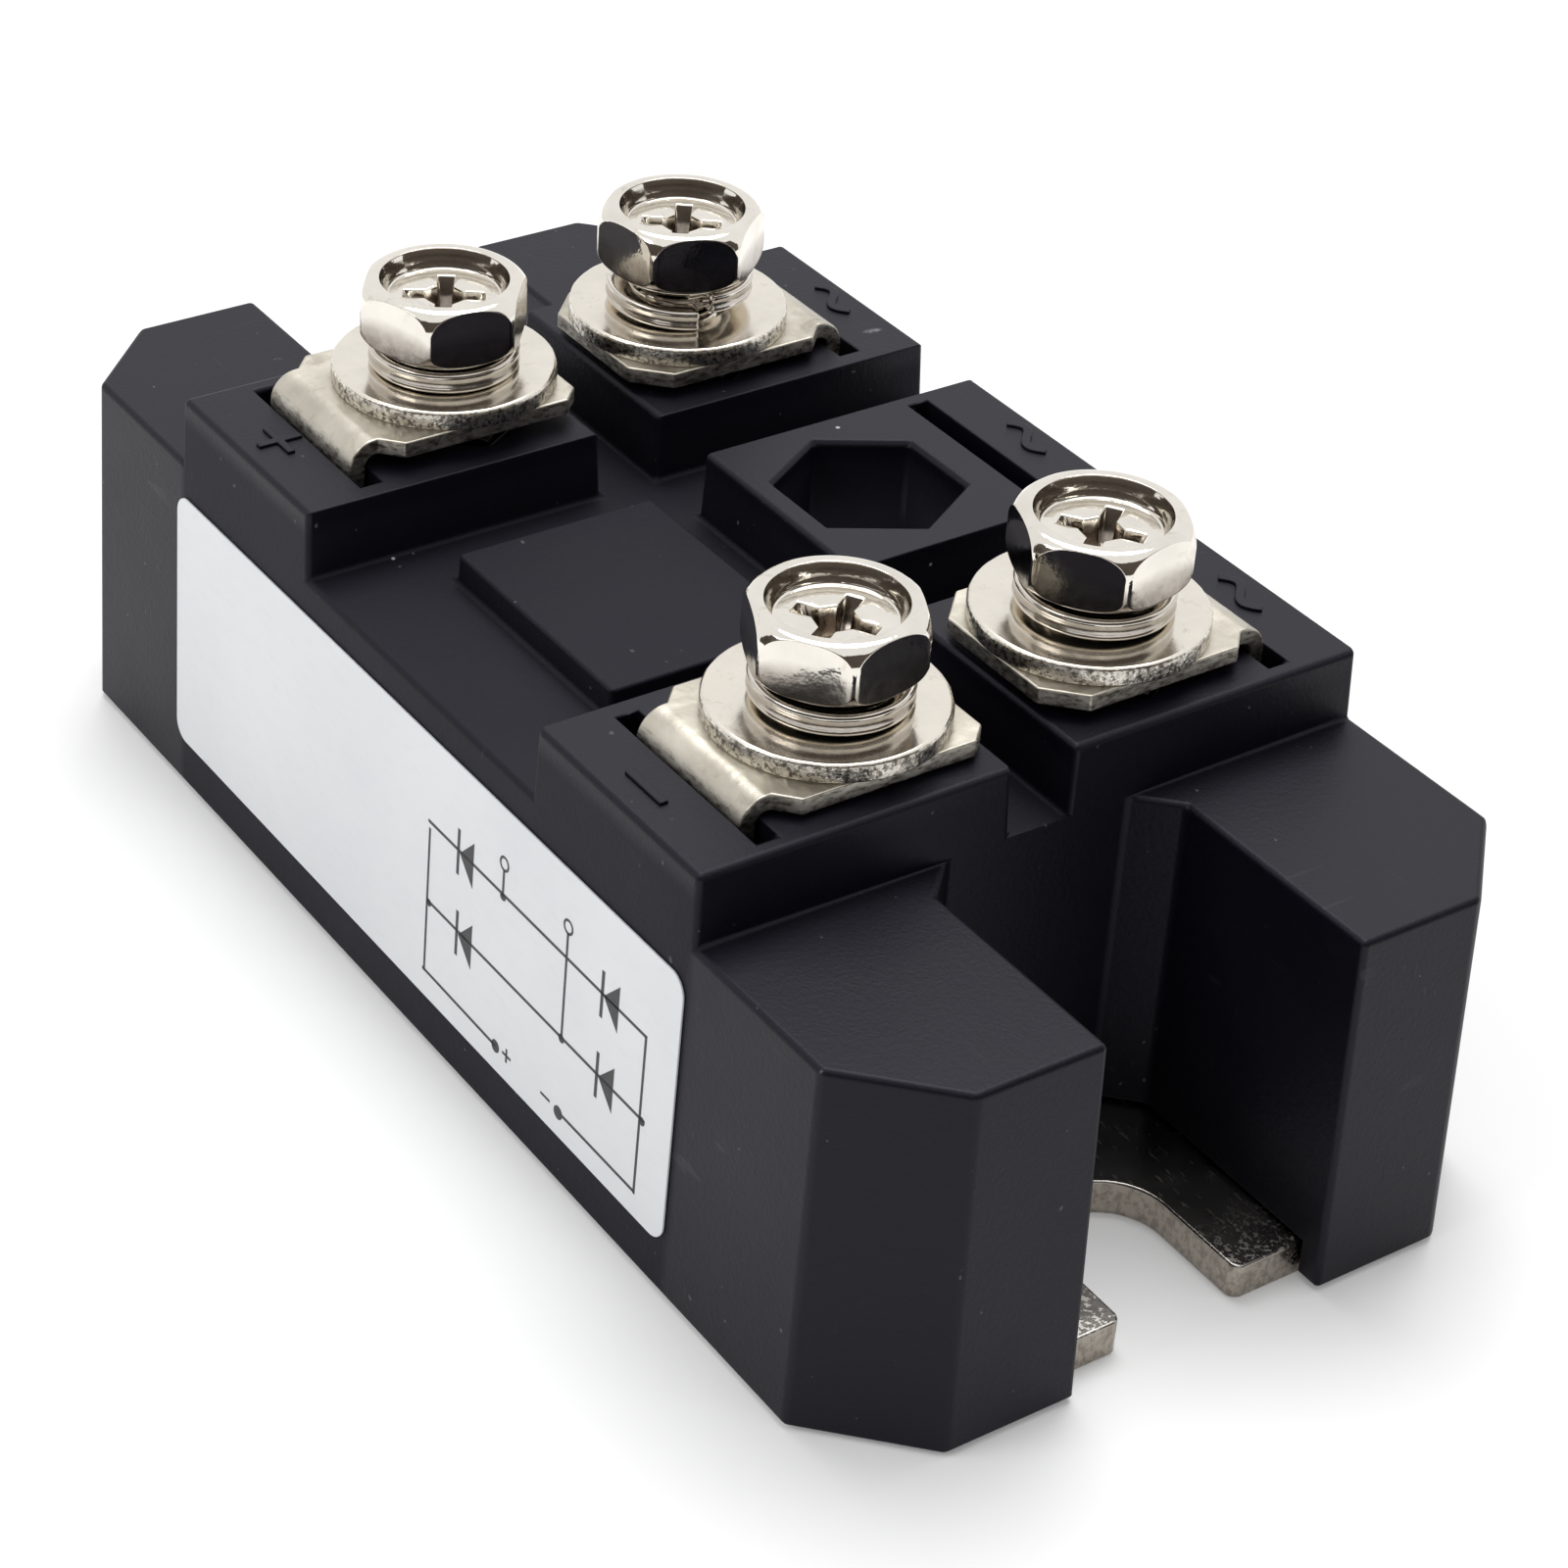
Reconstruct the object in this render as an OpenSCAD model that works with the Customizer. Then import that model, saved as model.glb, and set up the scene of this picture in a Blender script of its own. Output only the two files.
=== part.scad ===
// Single-phase bridge rectifier module with four screw terminals.
// X runs along the module, the label is on the -Y side, Z points up from the mounting face.

/* [Housing] */
// Length of the housing at its foot
body_l = 80; // [77:0.5:90]
// Width of the housing at its foot
body_w = 39.6; // [38.5:0.2:48]
// Height of the ears and of the channels, above the foot
shoulder_h = 19.9; // [18.5:0.1:26]
// Height of the terminal towers above the ears
tower_rise = 3.8; // [2.5:0.1:8]
// Mould draft of the walls in degrees
draft = 2; // [0.5:0.1:3]
// Chamfer on the outer upright corners of the ears
ear_chamfer = 5.2; // [2:0.1:7]
// Distance between the end walls of the two notches
core_l = 49.5; // [49:0.1:54]
// Width of the notch between the ears
notch_w = 14.5; // [12:0.1:20]
// Chamfer in the inner corners of the notch
notch_chamfer = 2; // [0.5:0.1:3]
// Thickness of the outer walls round the inner space
wall = 1.9; // [1.5:0.1:2.2]
// Thickness of the walls of the ears at the cut corners of the base plate
ear_wall = 1.6; // [1:0.1:2]
// Thickness of the floor between the nut pockets and the inner space
pocket_floor = 2; // [1:0.1:3]

/* [Towers] */
// Length of a corner tower at its foot, along X
tower_l = 13.85; // [13.2:0.05:15.5]
// Width of the long channel between the two rows
channel_w = 3.4; // [2:0.1:4]
// Width of the middle block of the back row at its foot
mid_block_w = 13.4; // [12.5:0.1:14]
// Length of the raised pad in the front row, along X
pad_l = 14.7; // [8:0.1:16]
// Width of the raised pad, along Y
pad_w = 11.7; // [6:0.1:13]
// Distance of the raised pad from the centre line
pad_inset = 0.9; // [0.5:0.1:3]
// Height of the raised pad above the channel floor
pad_rise = 1.6; // [0.5:0.1:2.4]

/* [Base plate] */
// Thickness of the base plate
plate_t = 2; // [1.5:0.1:4]
// Distance from the end of the base plate to the end of the ears
plate_end = 1.6; // [1.6:0.1:3]
// Distance from the side of the base plate to the side of the housing
plate_side = 2.3; // [2.1:0.1:2.8]
// How far the base plate stands out below the foot of the housing
plate_proud = 0.3; // [0.1:0.05:0.6]
// Distance between the centres of the two mounting slots
slot_pitch = 66; // [64:0.5:68]
// Width of the mounting slots
slot_w = 6.8; // [5:0.1:8]
// Radius of the corners at the mouth of the mounting slots
slot_mouth_r = 0.6; // [0.2:0.1:1.2]
// Clearance between the base plate and its recess in the housing
plate_gap = 0.15; // [0.05:0.05:0.3]
// Thickness of the adhesive between base plate and housing
seal_t = 0.2; // [0.1:0.05:0.4]

/* [Screw terminals] */
// Distance of the screws from the centre line, along Y
screw_y = 7.55; // [7:0.05:8.2]
// Diameter of the screws
screw_d = 4.9; // [4:0.1:5]
// Length of the screws under the head
screw_l = 10; // [9:0.1:11]
// Width of the screw heads across flats
head_af = 8; // [7:0.1:8.6]
// Height of the screw heads
head_h = 3.5; // [3:0.1:5]
// Diameter of the round recess in the screw heads
head_recess_d = 6.7; // [4:0.1:6.8]
// Depth of the round recess in the screw heads
head_recess_h = 1; // [0.4:0.1:1.2]
// Width of the flat rim round the recess in the screw heads
head_rim = 0.35; // [0.1:0.05:0.5]
// Diameter to which the corners of the screw heads are turned down
head_turn_d = 9.1; // [8.6:0.1:9.2]
// Height of the rounding round the top of the screw heads
head_round = 1.25; // [0.4:0.05:1.6]
// How much narrower the recess is at its floor, at each side
head_recess_taper = 0.4; // [0.1:0.1:0.8]
// Angle of the chamfers on the nuts and under the screw heads in degrees
head_chamfer_a = 42; // [20:1:45]
// How far the lower chamfer of screw heads and nuts reaches in from the flats
hex_relief = 0.2; // [0.05:0.05:0.4]
// Height of the round bearing face under the screw heads
face_h = 0.3; // [0.1:0.05:0.5]
// Outer diameter of the spring washers
spring_d = 7.9; // [7.4:0.1:8.8]
// Thickness of the wire of the spring washers
spring_t = 1.15; // [0.8:0.05:1.6]
// Gap at the split of the spring washers
spring_gap = 0.35; // [0.2:0.05:1]
// How far an unloaded spring washer is open at its split
spring_open = 0.9; // [0.5:0.05:1.2]
// Outer diameter of the flat washers
washer_d = 11.8; // [10:0.1:12]
// Thickness of the flat washers
washer_t = 1; // [0.8:0.1:1.6]
// Clearance round the screws in the washers, on the diameter
washer_play = 0.5; // [0.5:0.1:0.8]
// Clearance round the screws in the tabs, on the diameter
tab_play = 1; // [0.8:0.1:1.4]
// Clearance between screw and nut, on the diameter
thread_play = 0.1; // [0.05:0.05:0.2]
// Width of the nuts across flats
nut_af = 8; // [7:0.1:8.2]
// Height of the nuts
nut_h = 4; // [3:0.1:5]
// Clearance round the nuts in their pockets, across flats
nut_play = 0.6; // [0.3:0.1:0.8]
// Depth of the nut pockets
pocket_h = 7.2; // [7:0.1:7.8]
// Chamfer round the mouth of the nut pockets
pocket_rim = 0.25; // [0.1:0.05:0.4]

/* [Terminal strips] */
// Thickness of the terminal strips
strip_t = 0.9; // [0.7:0.05:1]
// Width of the tab under the screw
tab_w = 10.7; // [9.5:0.1:11.4]
// Distance of the free end of the tab from the centre line
tab_end = 1.9; // [1:0.1:2.4]
// Chamfer on the free corners of the plus and minus tabs
tab_chamfer = 1; // [0.5:0.1:2]
// Chamfer on the free corners of the AC tabs
ac_tab_chamfer = 1.8; // [0.5:0.1:2.2]
// Width of the leg below the tab
leg_w = 8.6; // [7.6:0.1:8.6]
// Distance from the screw to the middle of the leg, along Y
leg_reach = 7.2; // [6.9:0.1:7.5]
// Distance from the screw to the shoulder where the tab narrows to the leg
tab_shoulder = 5; // [4.2:0.1:5.2]
// Length of the slant from the shoulder to the leg
tab_slant = 1; // [0.4:0.1:1]
// How far a loose tab lifts off its seat
tab_slack = 0.5; // [0.1:0.05:0.8]
// Inner radius of the bends in the strips
bend_r = 0.6; // [0.4:0.1:1]
// Length of the foot that is soldered to the copper pad
foot_l = 3.5; // [2:0.1:3.7]
// Length of the slot that the leg comes out of
leg_slot_l = 11.5; // [11:0.1:12]
// Clearance at each face of the leg in its slot
leg_play = 0.17; // [0.1:0.01:0.22]

/* [Label] */
// Length of the label
label_l = 49.4; // [30:0.2:54]
// Height of the label
label_h = 15.2; // [8:0.1:16]
// Corner radius of the label
label_r = 1.1; // [0.5:0.1:3]
// Thickness of the label
label_t = 0.12; // [0.05:0.01:0.2]
// Height of the lower edge of the label above the foot
label_z = 2.8; // [1:0.1:3.4]
// How far the label was stuck on off the middle, along X
label_x = -0.3; // [-2:0.1:2]
// Thickness of the glue between label and wall
label_stick = 0.02; // [0.01:0.01:0.05]

/* [Inside] */
// Thickness of the copper layer under the ceramic
back_copper_t = 0.3; // [0.2:0.05:0.5]
// Thickness of the ceramic
ceramic_t = 0.65; // [0.4:0.05:1]
// Margin between the ceramic and the walls round it
ceramic_margin = 0.4; // [0.2:0.1:0.6]
// Thickness of the copper pads
pad_t = 0.4; // [0.2:0.05:0.6]
// Margin between the copper and the edge of the ceramic
pad_margin = 0.5; // [0.2:0.1:0.6]
// Gap between neighbouring copper pads
pad_gap = 1; // [0.6:0.1:1.2]
// Width of the strips that join the fingers of a copper pad
spine_w = 2.4; // [1.8:0.1:2.6]
// Side of the square diode dies
die_w = 5; // [3:0.1:5.2]
// Thickness of the diode dies with their solder
die_t = 0.5; // [0.3:0.05:0.8]
// Width of the jumper clips
clip_w = 4; // [2:0.1:5]
// Thickness of the jumper clips
clip_t = 0.5; // [0.3:0.05:0.8]
// Height of the bow of the jumper clips
clip_rise = 1.6; // [1:0.1:2.4]
// Length of each end of a jumper clip
clip_land = 2; // [1:0.1:2.4]
// Gap between a die or a clip and the edge of its pad
solder_edge = 0.5; // [0.2:0.1:0.6]
// Room between the legs and the side walls of the inner space
leg_room = 0.6; // [0.3:0.1:0.8]
// Radius of the upright corners of the inner space
cavity_r = 1.5; // [1:0.1:2.5]
// Height of the silicone gel above the base plate
gel_h = 7; // [6:0.1:8]
// Height of the resin on top of the gel
resin_h = 3; // [1:0.1:3.4]

/* [Hidden] */

$fn = 64;
eps = 0.01;
big = 200;

// Levels
z_foot = plate_proud;
z_shoulder = z_foot + shoulder_h;
z_tower = z_shoulder + tower_rise;
z_pad = z_shoulder + pad_rise;
z_roof = plate_t + seal_t;
z_pocket = z_tower - pocket_h;
z_ceiling = z_pocket - pocket_floor;
z_ceramic = plate_t + back_copper_t;
z_copper = z_ceramic + ceramic_t;
z_die = z_copper + pad_t;
z_clip = z_die + die_t;

// Plan
tower_gap = core_l - 2 * tower_l;
screw_x = (core_l - tower_l) / 2;
plate_l = body_l - 2 * plate_end;
plate_w = body_w - 2 * plate_side;
leg_y = screw_y + leg_reach;
slot_t = strip_t + 2 * leg_play;
bend_y = leg_y - strip_t / 2 - bend_r;
plate_corner = ear_chamfer + sqrt(2) * ear_wall - plate_end - plate_side;
cavity_l = core_l - 2 * wall;
cavity_w = 2 * (leg_y + slot_t / 2 + leg_room);
ceramic_l = cavity_l - 2 * ceramic_margin;
ceramic_w = cavity_w - 2 * ceramic_margin;
copper_x = ceramic_l / 2 - pad_margin;
copper_y = ceramic_w / 2 - pad_margin;
finger_w = (2 * copper_x - 3 * pad_gap) / 4;
finger_y = pad_gap / 2 + spine_w + pad_gap;
ac_die_y = pad_gap / 2 + solder_edge + die_w / 2;
dc_die_y = -(finger_y + solder_edge + die_w / 2);
land_y = pad_gap / 2 + solder_edge + clip_land / 2;
clip_span = land_y - dc_die_y;

// Height of a tab above its tower at which the bend just clears the edge of the slot
tab_seat = bend_r - sqrt(pow(bend_r, 2) - pow(bend_r - leg_play, 2));

// Terminals, as hand tightening left them: side of the module in X and Y, share of the slack by
// which the tab lifts, shares of the play by which the screw is off the middle of the tab and the
// flat washer off the screw, share by which the spring washer is still open, turn of the screw
// head, and turn of the split in the spring washer
PLUS = [[-1, -1], 1, [0.36, 0.4], [-0.5, 0.4], 0.17, 20, 95];
MINUS = [[1, -1], 0.04, [0.2, 0.1], [-0.4, -0.5], 0.5, 36, 110];
AC_LEFT = [[-1, 1], 0.54, [-0.44, -0.2], [0, 0], 1, 8, -11];
AC_RIGHT = [[1, 1], 0.64, [0.1, 0.44], [-0.5, -0.4], 0.5, 38, 150];
TERMINALS = [PLUS, MINUS, AC_LEFT, AC_RIGHT];

// Nut pockets with their slots: one at each terminal, and a spare one in the middle block
POCKETS = concat([for (t = TERMINALS) t[0]], [[0, 1]]);

function middle(t) = [t[0][0] * screw_x, t[0][1] * screw_y];
function screw_at(t) = middle(t) + t[2] * tab_play / 2;
function washer_at(t) = screw_at(t) + t[3] * washer_play / 2;
function z_tab(t) = z_tower + tab_seat + t[1] * tab_slack;
function z_washer(t) = z_tab(t) + strip_t;
function z_spring(t) = z_washer(t) + washer_t;
function z_head(t) = z_spring(t) + spring_t + t[4] * spring_open;

// Colours
MOULDED = [0.10, 0.10, 0.11];
NICKEL = [0.78, 0.76, 0.72];
COPPER = [0.72, 0.43, 0.25];

// How far a drafted wall leans in over a height
function lean(h) = h * tan(draft);

// Middle of one of the four copper fingers in the front row
function finger_x(i) = -copper_x + finger_w / 2 + i * (finger_w + pad_gap);

// ---------------------------------------------------------------- forms

// Bar along Y that narrows upwards by the draft
module wedge(w, z0, z1, l) {
    rotate([90, 0, 0])
        linear_extrude(height = l, center = true)
            polygon([[-w / 2, z0],
                     [w / 2, z0],
                     [w / 2 - lean(z1 - z0), z1],
                     [-w / 2 + lean(z1 - z0), z1]]);
}

// Trough along Y that widens upwards by the draft, to be cut out of the towers
module trough(x0, x1, y0, y1) {
    rise = tower_rise + 1;
    translate([0, y1, z_shoulder])
        rotate([90, 0, 0])
            linear_extrude(height = y1 - y0)
                polygon([[x0, 0], [x1, 0], [x1 + lean(rise), rise], [x0 - lean(rise), rise]]);
}

module rounded_rect(l, w, r) {
    square([l - 2 * r, w], center = true);
    square([l, w - 2 * r], center = true);
    for (x = [-1, 1])
        for (y = [-1, 1])
            translate([x * (l / 2 - r), y * (w / 2 - r)])
                circle(r);
}

// Plate from z upwards with a plan given as the child
module layer(z, h) {
    translate([0, 0, z])
        linear_extrude(height = h)
            children();
}

// Hexagonal prism with corners on the X axis
module hex_prism(af, h) {
    cylinder(d = af / cos(30), h = h, $fn = 6);
}

// Hexagonal prism, turned to a profile of radius and height that is chamfered at its foot
module turned_hex(af, h, corner_r, bottom_r, shoulder) {
    intersection() {
        hex_prism(af, h);
        rotate_extrude()
            polygon(concat([[0, 0],
                            [bottom_r, 0],
                            [corner_r, (corner_r - bottom_r) * tan(head_chamfer_a)]],
                           shoulder,
                           [[0, h]]));
    }
}

// Puts a child that is drawn at the origin at one place of the plan and one height
module at(place, z = 0) {
    translate([place[0], place[1], z])
        children();
}

// ---------------------------------------------------------------- housing

// Block with ears, all round at full height, with its four upright corners cut
module outer_block() {
    diagonal = (body_l + body_w - 2 * ear_chamfer) / sqrt(2);
    intersection_for (side = [[body_l, 0], [body_w, 90], [diagonal, 45], [diagonal, -45]])
        rotate([0, 0, side[1]])
            wedge(side[0], z_foot, z_tower, big);
}

// Everything that is cut away above the ears, which leaves towers and middle block
module tower_cuts() {
    for (s = [0, 180])
        rotate([0, 0, s])
            trough(core_l / 2, big, -big, big);
    rotate([0, 0, 90])
        trough(-channel_w / 2, channel_w / 2, -big, big);
    trough(-tower_gap / 2, tower_gap / 2, -big, 0);
    trough(mid_block_w / 2, tower_gap / 2, 0, big);
    trough(-tower_gap / 2, -mid_block_w / 2, 0, big);
}

// Notch between two ears, over a mounting slot
module notch() {
    root = core_l / 2;
    side = notch_w / 2;
    layer(-1, big)
        polygon([[root, side - notch_chamfer],
                 [root + notch_chamfer, side],
                 [big, side],
                 [big, -side],
                 [root + notch_chamfer, -side],
                 [root, notch_chamfer - side]]);
}

// Raised pad on the floor between the front towers
module raised_pad() {
    translate([0, -pad_inset - pad_w / 2, 0])
        intersection() {
            wedge(pad_l, z_shoulder - 1, z_pad, big);
            rotate([0, 0, 90])
                wedge(pad_w, z_shoulder - 1, z_pad, big);
        }
}

// Pocket that keeps a nut from turning, drawn at its own axis
module nut_pocket() {
    translate([0, 0, z_pocket])
        hex_prism(nut_af + nut_play, big);
    translate([0, 0, z_tower - pocket_rim])
        cylinder(r1 = (nut_af + nut_play) / 2 / cos(30),
                 r2 = (nut_af + nut_play) / 2 / cos(30) + 2 * pocket_rim,
                 h = 2 * pocket_rim,
                 $fn = 6);
}

// Upright slot for a terminal leg, drawn at its own middle
module leg_slot() {
    translate([-leg_slot_l / 2, -slot_t / 2, z_ceiling - 1])
        cube([leg_slot_l, slot_t, big]);
}

module housing() {
    color(MOULDED)
        union() {
            difference() {
                outer_block();
                tower_cuts();
                for (s = [0, 180])
                    rotate([0, 0, s])
                        notch();
                for (place = POCKETS) {
                    at([place[0] * screw_x, place[1] * screw_y])
                        nut_pocket();
                    at([place[0] * screw_x, place[1] * leg_y])
                        leg_slot();
                }
                layer(-1, z_ceiling + 1)
                    rounded_rect(cavity_l, cavity_w, cavity_r);
                layer(-1, z_roof + 1)
                    plate_outline(plate_gap);
            }
            raised_pad();
        }
}

module label() {
    color([0.86, 0.87, 0.87])
        translate([0, -body_w / 2, z_foot])
            rotate([90 - draft, 0, 0])
                translate([label_x, label_z + label_h / 2, label_stick])
                    linear_extrude(height = label_t)
                        rounded_rect(label_l, label_h, label_r);
}

// ---------------------------------------------------------------- base plate

// Outline of the base plate with cut corners, grown by a clearance on every side
module plate_outline(gap) {
    x = plate_l / 2 + gap;
    y = plate_w / 2 + gap;
    cut = plate_corner + gap * (2 - sqrt(2));
    polygon([[x, y - cut], [x - cut, y], [cut - x, y], [-x, y - cut],
             [-x, cut - y], [cut - x, -y], [x - cut, -y], [x, cut - y]]);
}

// Open slot from its round end at the slot centre out past the end of the plate
module mounting_slot() {
    mouth = plate_l / 2;
    translate([slot_pitch / 2, 0])
        circle(d = slot_w);
    translate([slot_pitch / 2, -slot_w / 2])
        square([big, slot_w]);
    for (s = [-1, 1])
        translate([mouth, s * slot_w / 2])
            difference() {
                square(2 * slot_mouth_r, center = true);
                translate([-slot_mouth_r, s * slot_mouth_r])
                    circle(slot_mouth_r);
            }
}

module base_plate() {
    color(NICKEL)
        layer(0, plate_t)
            difference() {
                plate_outline(0);
                for (s = [0, 180])
                    rotate(s)
                        mounting_slot();
            }
}

module seal_bead() {
    color([0.75, 0.75, 0.72])
        layer(plate_t, seal_t)
            difference() {
                square([core_l - 2 * plate_gap, plate_w - 2 * plate_gap], center = true);
                rounded_rect(cavity_l, cavity_w, cavity_r);
            }
}

// ---------------------------------------------------------------- terminals

// Quarter of a bent strip, from angle a to a + 90 degrees
module bend(a) {
    rotate(a)
        intersection() {
            difference() {
                circle(bend_r + strip_t);
                circle(bend_r);
            }
            square(2 * (bend_r + strip_t));
        }
}

// Side view of leg and foot under a tab at height z, with Y to the right and Z upwards
module leg_profile(z) {
    tab_bend_z = z - bend_r;
    foot_bend_z = z_die + strip_t + bend_r;
    translate([bend_y, tab_bend_z])
        bend(0);
    translate([leg_y - strip_t / 2, foot_bend_z])
        square([strip_t, tab_bend_z - foot_bend_z]);
    translate([bend_y, foot_bend_z])
        bend(-90);
    translate([bend_y - foot_l, z_die])
        square([foot_l, strip_t]);
}

// Plan of the tab, with its wide end under the screw and its neck at the bend
module tab_plan(chamfer) {
    half = tab_w / 2;
    shoulder = screw_y + tab_shoulder;
    difference() {
        for (s = [-1, 1])
            polygon([[0, tab_end],
                     [s * (half - chamfer), tab_end],
                     [s * half, tab_end + chamfer],
                     [s * half, shoulder],
                     [s * leg_w / 2, shoulder + tab_slant],
                     [s * leg_w / 2, bend_y],
                     [0, bend_y]]);
        translate([0, screw_y])
            circle(d = screw_d + tab_play);
    }
}

// One strip, bent from tab to foot, on side y of the module
module terminal_strip(t) {
    color(NICKEL)
        translate([t[0][0] * screw_x, 0, 0])
            mirror([0, t[0][1] < 0 ? 1 : 0, 0])
                union() {
                    layer(z_tab(t), strip_t)
                        tab_plan(t[0][1] < 0 ? tab_chamfer : ac_tab_chamfer);
                    rotate([90, 0, 90])
                        linear_extrude(height = leg_w, center = true)
                            leg_profile(z_tab(t));
                }
}

// Rounding of a head of height h, from its corners up and in to the flat rim
function rounding(h) =
    let (rim_r = head_recess_d / 2 + head_rim, reach = head_turn_d / 2 - rim_r)
    [for (a = [0:30:90]) [rim_r + reach * cos(a), h - head_round * (1 - sin(a))]];

// Screw with the underside of its head at Z 0
module screw(turn) {
    bottom_r = head_af / 2 - hex_relief;
    hex_h = head_h - face_h;
    translate([0, 0, -screw_l])
        cylinder(d = screw_d, h = screw_l + eps);
    difference() {
        union() {
            cylinder(r = bottom_r - hex_relief, h = 2 * face_h);
            translate([0, 0, face_h])
                rotate([0, 0, turn])
                    turned_hex(head_af, hex_h, head_turn_d / 2, bottom_r, rounding(hex_h));
        }
        translate([0, 0, head_h - head_recess_h])
            cylinder(r1 = head_recess_d / 2 - head_recess_taper,
                     r2 = head_recess_d / 2,
                     h = head_recess_h + eps);
    }
}

module terminal_screws() {
    color(NICKEL)
        for (t = TERMINALS)
            at(screw_at(t), z_head(t))
                screw(t[5]);
}

// Split ring of square wire that falls from its high end to its low end by rise
module spring_washer(rise, turn) {
    steps = 36;
    outer = spring_d / 2;
    inner = (screw_d + washer_play) / 2;
    split = 2 * asin(spring_gap / (outer + inner));
    function section(i) =
        let (a = turn + split + i * (360 - 2 * split) / steps, z = rise * (1 - i / steps))
        [for (c = [[inner, 0], [outer, 0], [outer, spring_t], [inner, spring_t]])
            [c[0] * cos(a), c[0] * sin(a), z + c[1]]];
    points = [for (i = [0:steps]) each section(i)];
    sides = [for (i = [0:steps - 1], k = [0:3])
        [4 * i + k, 4 * i + (k + 1) % 4, 4 * i + 4 + (k + 1) % 4, 4 * i + 4 + k]];
    ends = [[3, 2, 1, 0], [for (k = [0:3]) 4 * steps + k]];
    polyhedron(points, concat(sides, ends), convexity = 4);
}

module spring_washers() {
    color(NICKEL)
        for (t = TERMINALS)
            at(screw_at(t), z_spring(t))
                spring_washer(t[4] * spring_open, t[6]);
}

module flat_washers() {
    color(NICKEL)
        for (t = TERMINALS)
            at(washer_at(t), z_washer(t))
                linear_extrude(height = washer_t)
                    difference() {
                        circle(d = washer_d);
                        circle(d = screw_d + washer_play);
                    }
}

module captive_nuts() {
    nut_r = nut_af / 2 - hex_relief;
    corner_r = nut_af / 2 / cos(30) + eps;
    chamfer_h = (corner_r - nut_r) * tan(head_chamfer_a);
    top = [[corner_r, nut_h - chamfer_h], [nut_r, nut_h]];
    color(NICKEL)
        for (t = TERMINALS)
            at(screw_at(t), z_tab(t) - nut_h)
                difference() {
                    turned_hex(nut_af, nut_h, corner_r, nut_r, top);
                    translate([0, 0, -1])
                        cylinder(d = screw_d + thread_play, h = nut_h + 2);
                }
}

// ---------------------------------------------------------------- inside

module back_copper() {
    color(COPPER)
        layer(plate_t, back_copper_t)
            square([2 * copper_x, 2 * copper_y], center = true);
}

module ceramic() {
    color([0.93, 0.93, 0.90])
        layer(z_ceramic, ceramic_t)
            rounded_rect(ceramic_l, ceramic_w, cavity_r - ceramic_margin);
}

// Finger i of the front row between two distances from the centre line
module finger(i, y0, y1) {
    translate([finger_x(i) - finger_w / 2, -y1])
        square([finger_w, y1 - y0]);
}

module pad_plus() {
    right = finger_x(2) + finger_w / 2;
    color(COPPER)
        layer(z_copper, pad_t) {
            finger(0, finger_y, copper_y);
            finger(2, finger_y, copper_y);
            translate([-copper_x, -copper_y])
                square([copper_x + right, spine_w]);
        }
}

module pad_minus() {
    left = finger_x(1) - finger_w / 2;
    color(COPPER)
        layer(z_copper, pad_t) {
            finger(1, pad_gap / 2, copper_y - spine_w - pad_gap);
            finger(3, pad_gap / 2, copper_y);
            translate([left, -pad_gap / 2 - spine_w])
                square([copper_x - left, spine_w]);
        }
}

module pad_ac(side) {
    color(COPPER)
        mirror([side < 0 ? 1 : 0, 0, 0])
            layer(z_copper, pad_t)
                translate([pad_gap / 2, pad_gap / 2])
                    square([copper_x - pad_gap / 2, copper_y - pad_gap / 2]);
}

// Dies 1 and 3 in the fingers of the plus pad, dies 2 and 4 on the AC pads
module die(i) {
    y = i % 2 == 0 ? dc_die_y : ac_die_y;
    color([0.35, 0.36, 0.40])
        translate([finger_x(i), y, 0])
            layer(z_die, die_t)
                square(die_w, center = true);
}

// Bowed clip from the top of a die at Y 0 to a pad at Y span
module jumper_clip() {
    end = clip_land / 2;
    bow = z_clip + clip_rise;
    run = clip_rise;
    lower = [[-end, z_clip],
             [end, z_clip],
             [end + run, bow],
             [clip_span - end - run, bow],
             [clip_span - end, z_die],
             [clip_span + end, z_die]];
    upper = [for (i = [len(lower) - 1:-1:0]) lower[i] + [0, clip_t]];
    color(COPPER)
        rotate([90, 0, 90])
            linear_extrude(height = clip_w, center = true)
                polygon(concat(lower, upper));
}

// Clip on die i, towards the other row of pads
module clip(i) {
    from_dc = i % 2 == 0;
    translate([finger_x(i), from_dc ? dc_die_y : ac_die_y, 0])
        mirror([0, from_dc ? 0 : 1, 0])
            jumper_clip();
}

// Cavity filling between two levels
module filling(z, h) {
    layer(z, h)
        rounded_rect(cavity_l, cavity_w, cavity_r);
}

module silicone_gel() {
    color([0.85, 0.88, 0.90])
        difference() {
            filling(plate_t, gel_h);
            back_copper();
            ceramic();
            pad_plus();
            pad_minus();
            pad_ac(-1);
            pad_ac(1);
            for (i = [0:3]) {
                die(i);
                clip(i);
            }
            for (t = TERMINALS)
                terminal_strip(t);
        }
}

module potting_resin() {
    color([0.14, 0.13, 0.13])
        difference() {
            filling(plate_t + gel_h, resin_h);
            for (t = TERMINALS)
                terminal_strip(t);
        }
}

// ---------------------------------------------------------------- assembly

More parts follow.
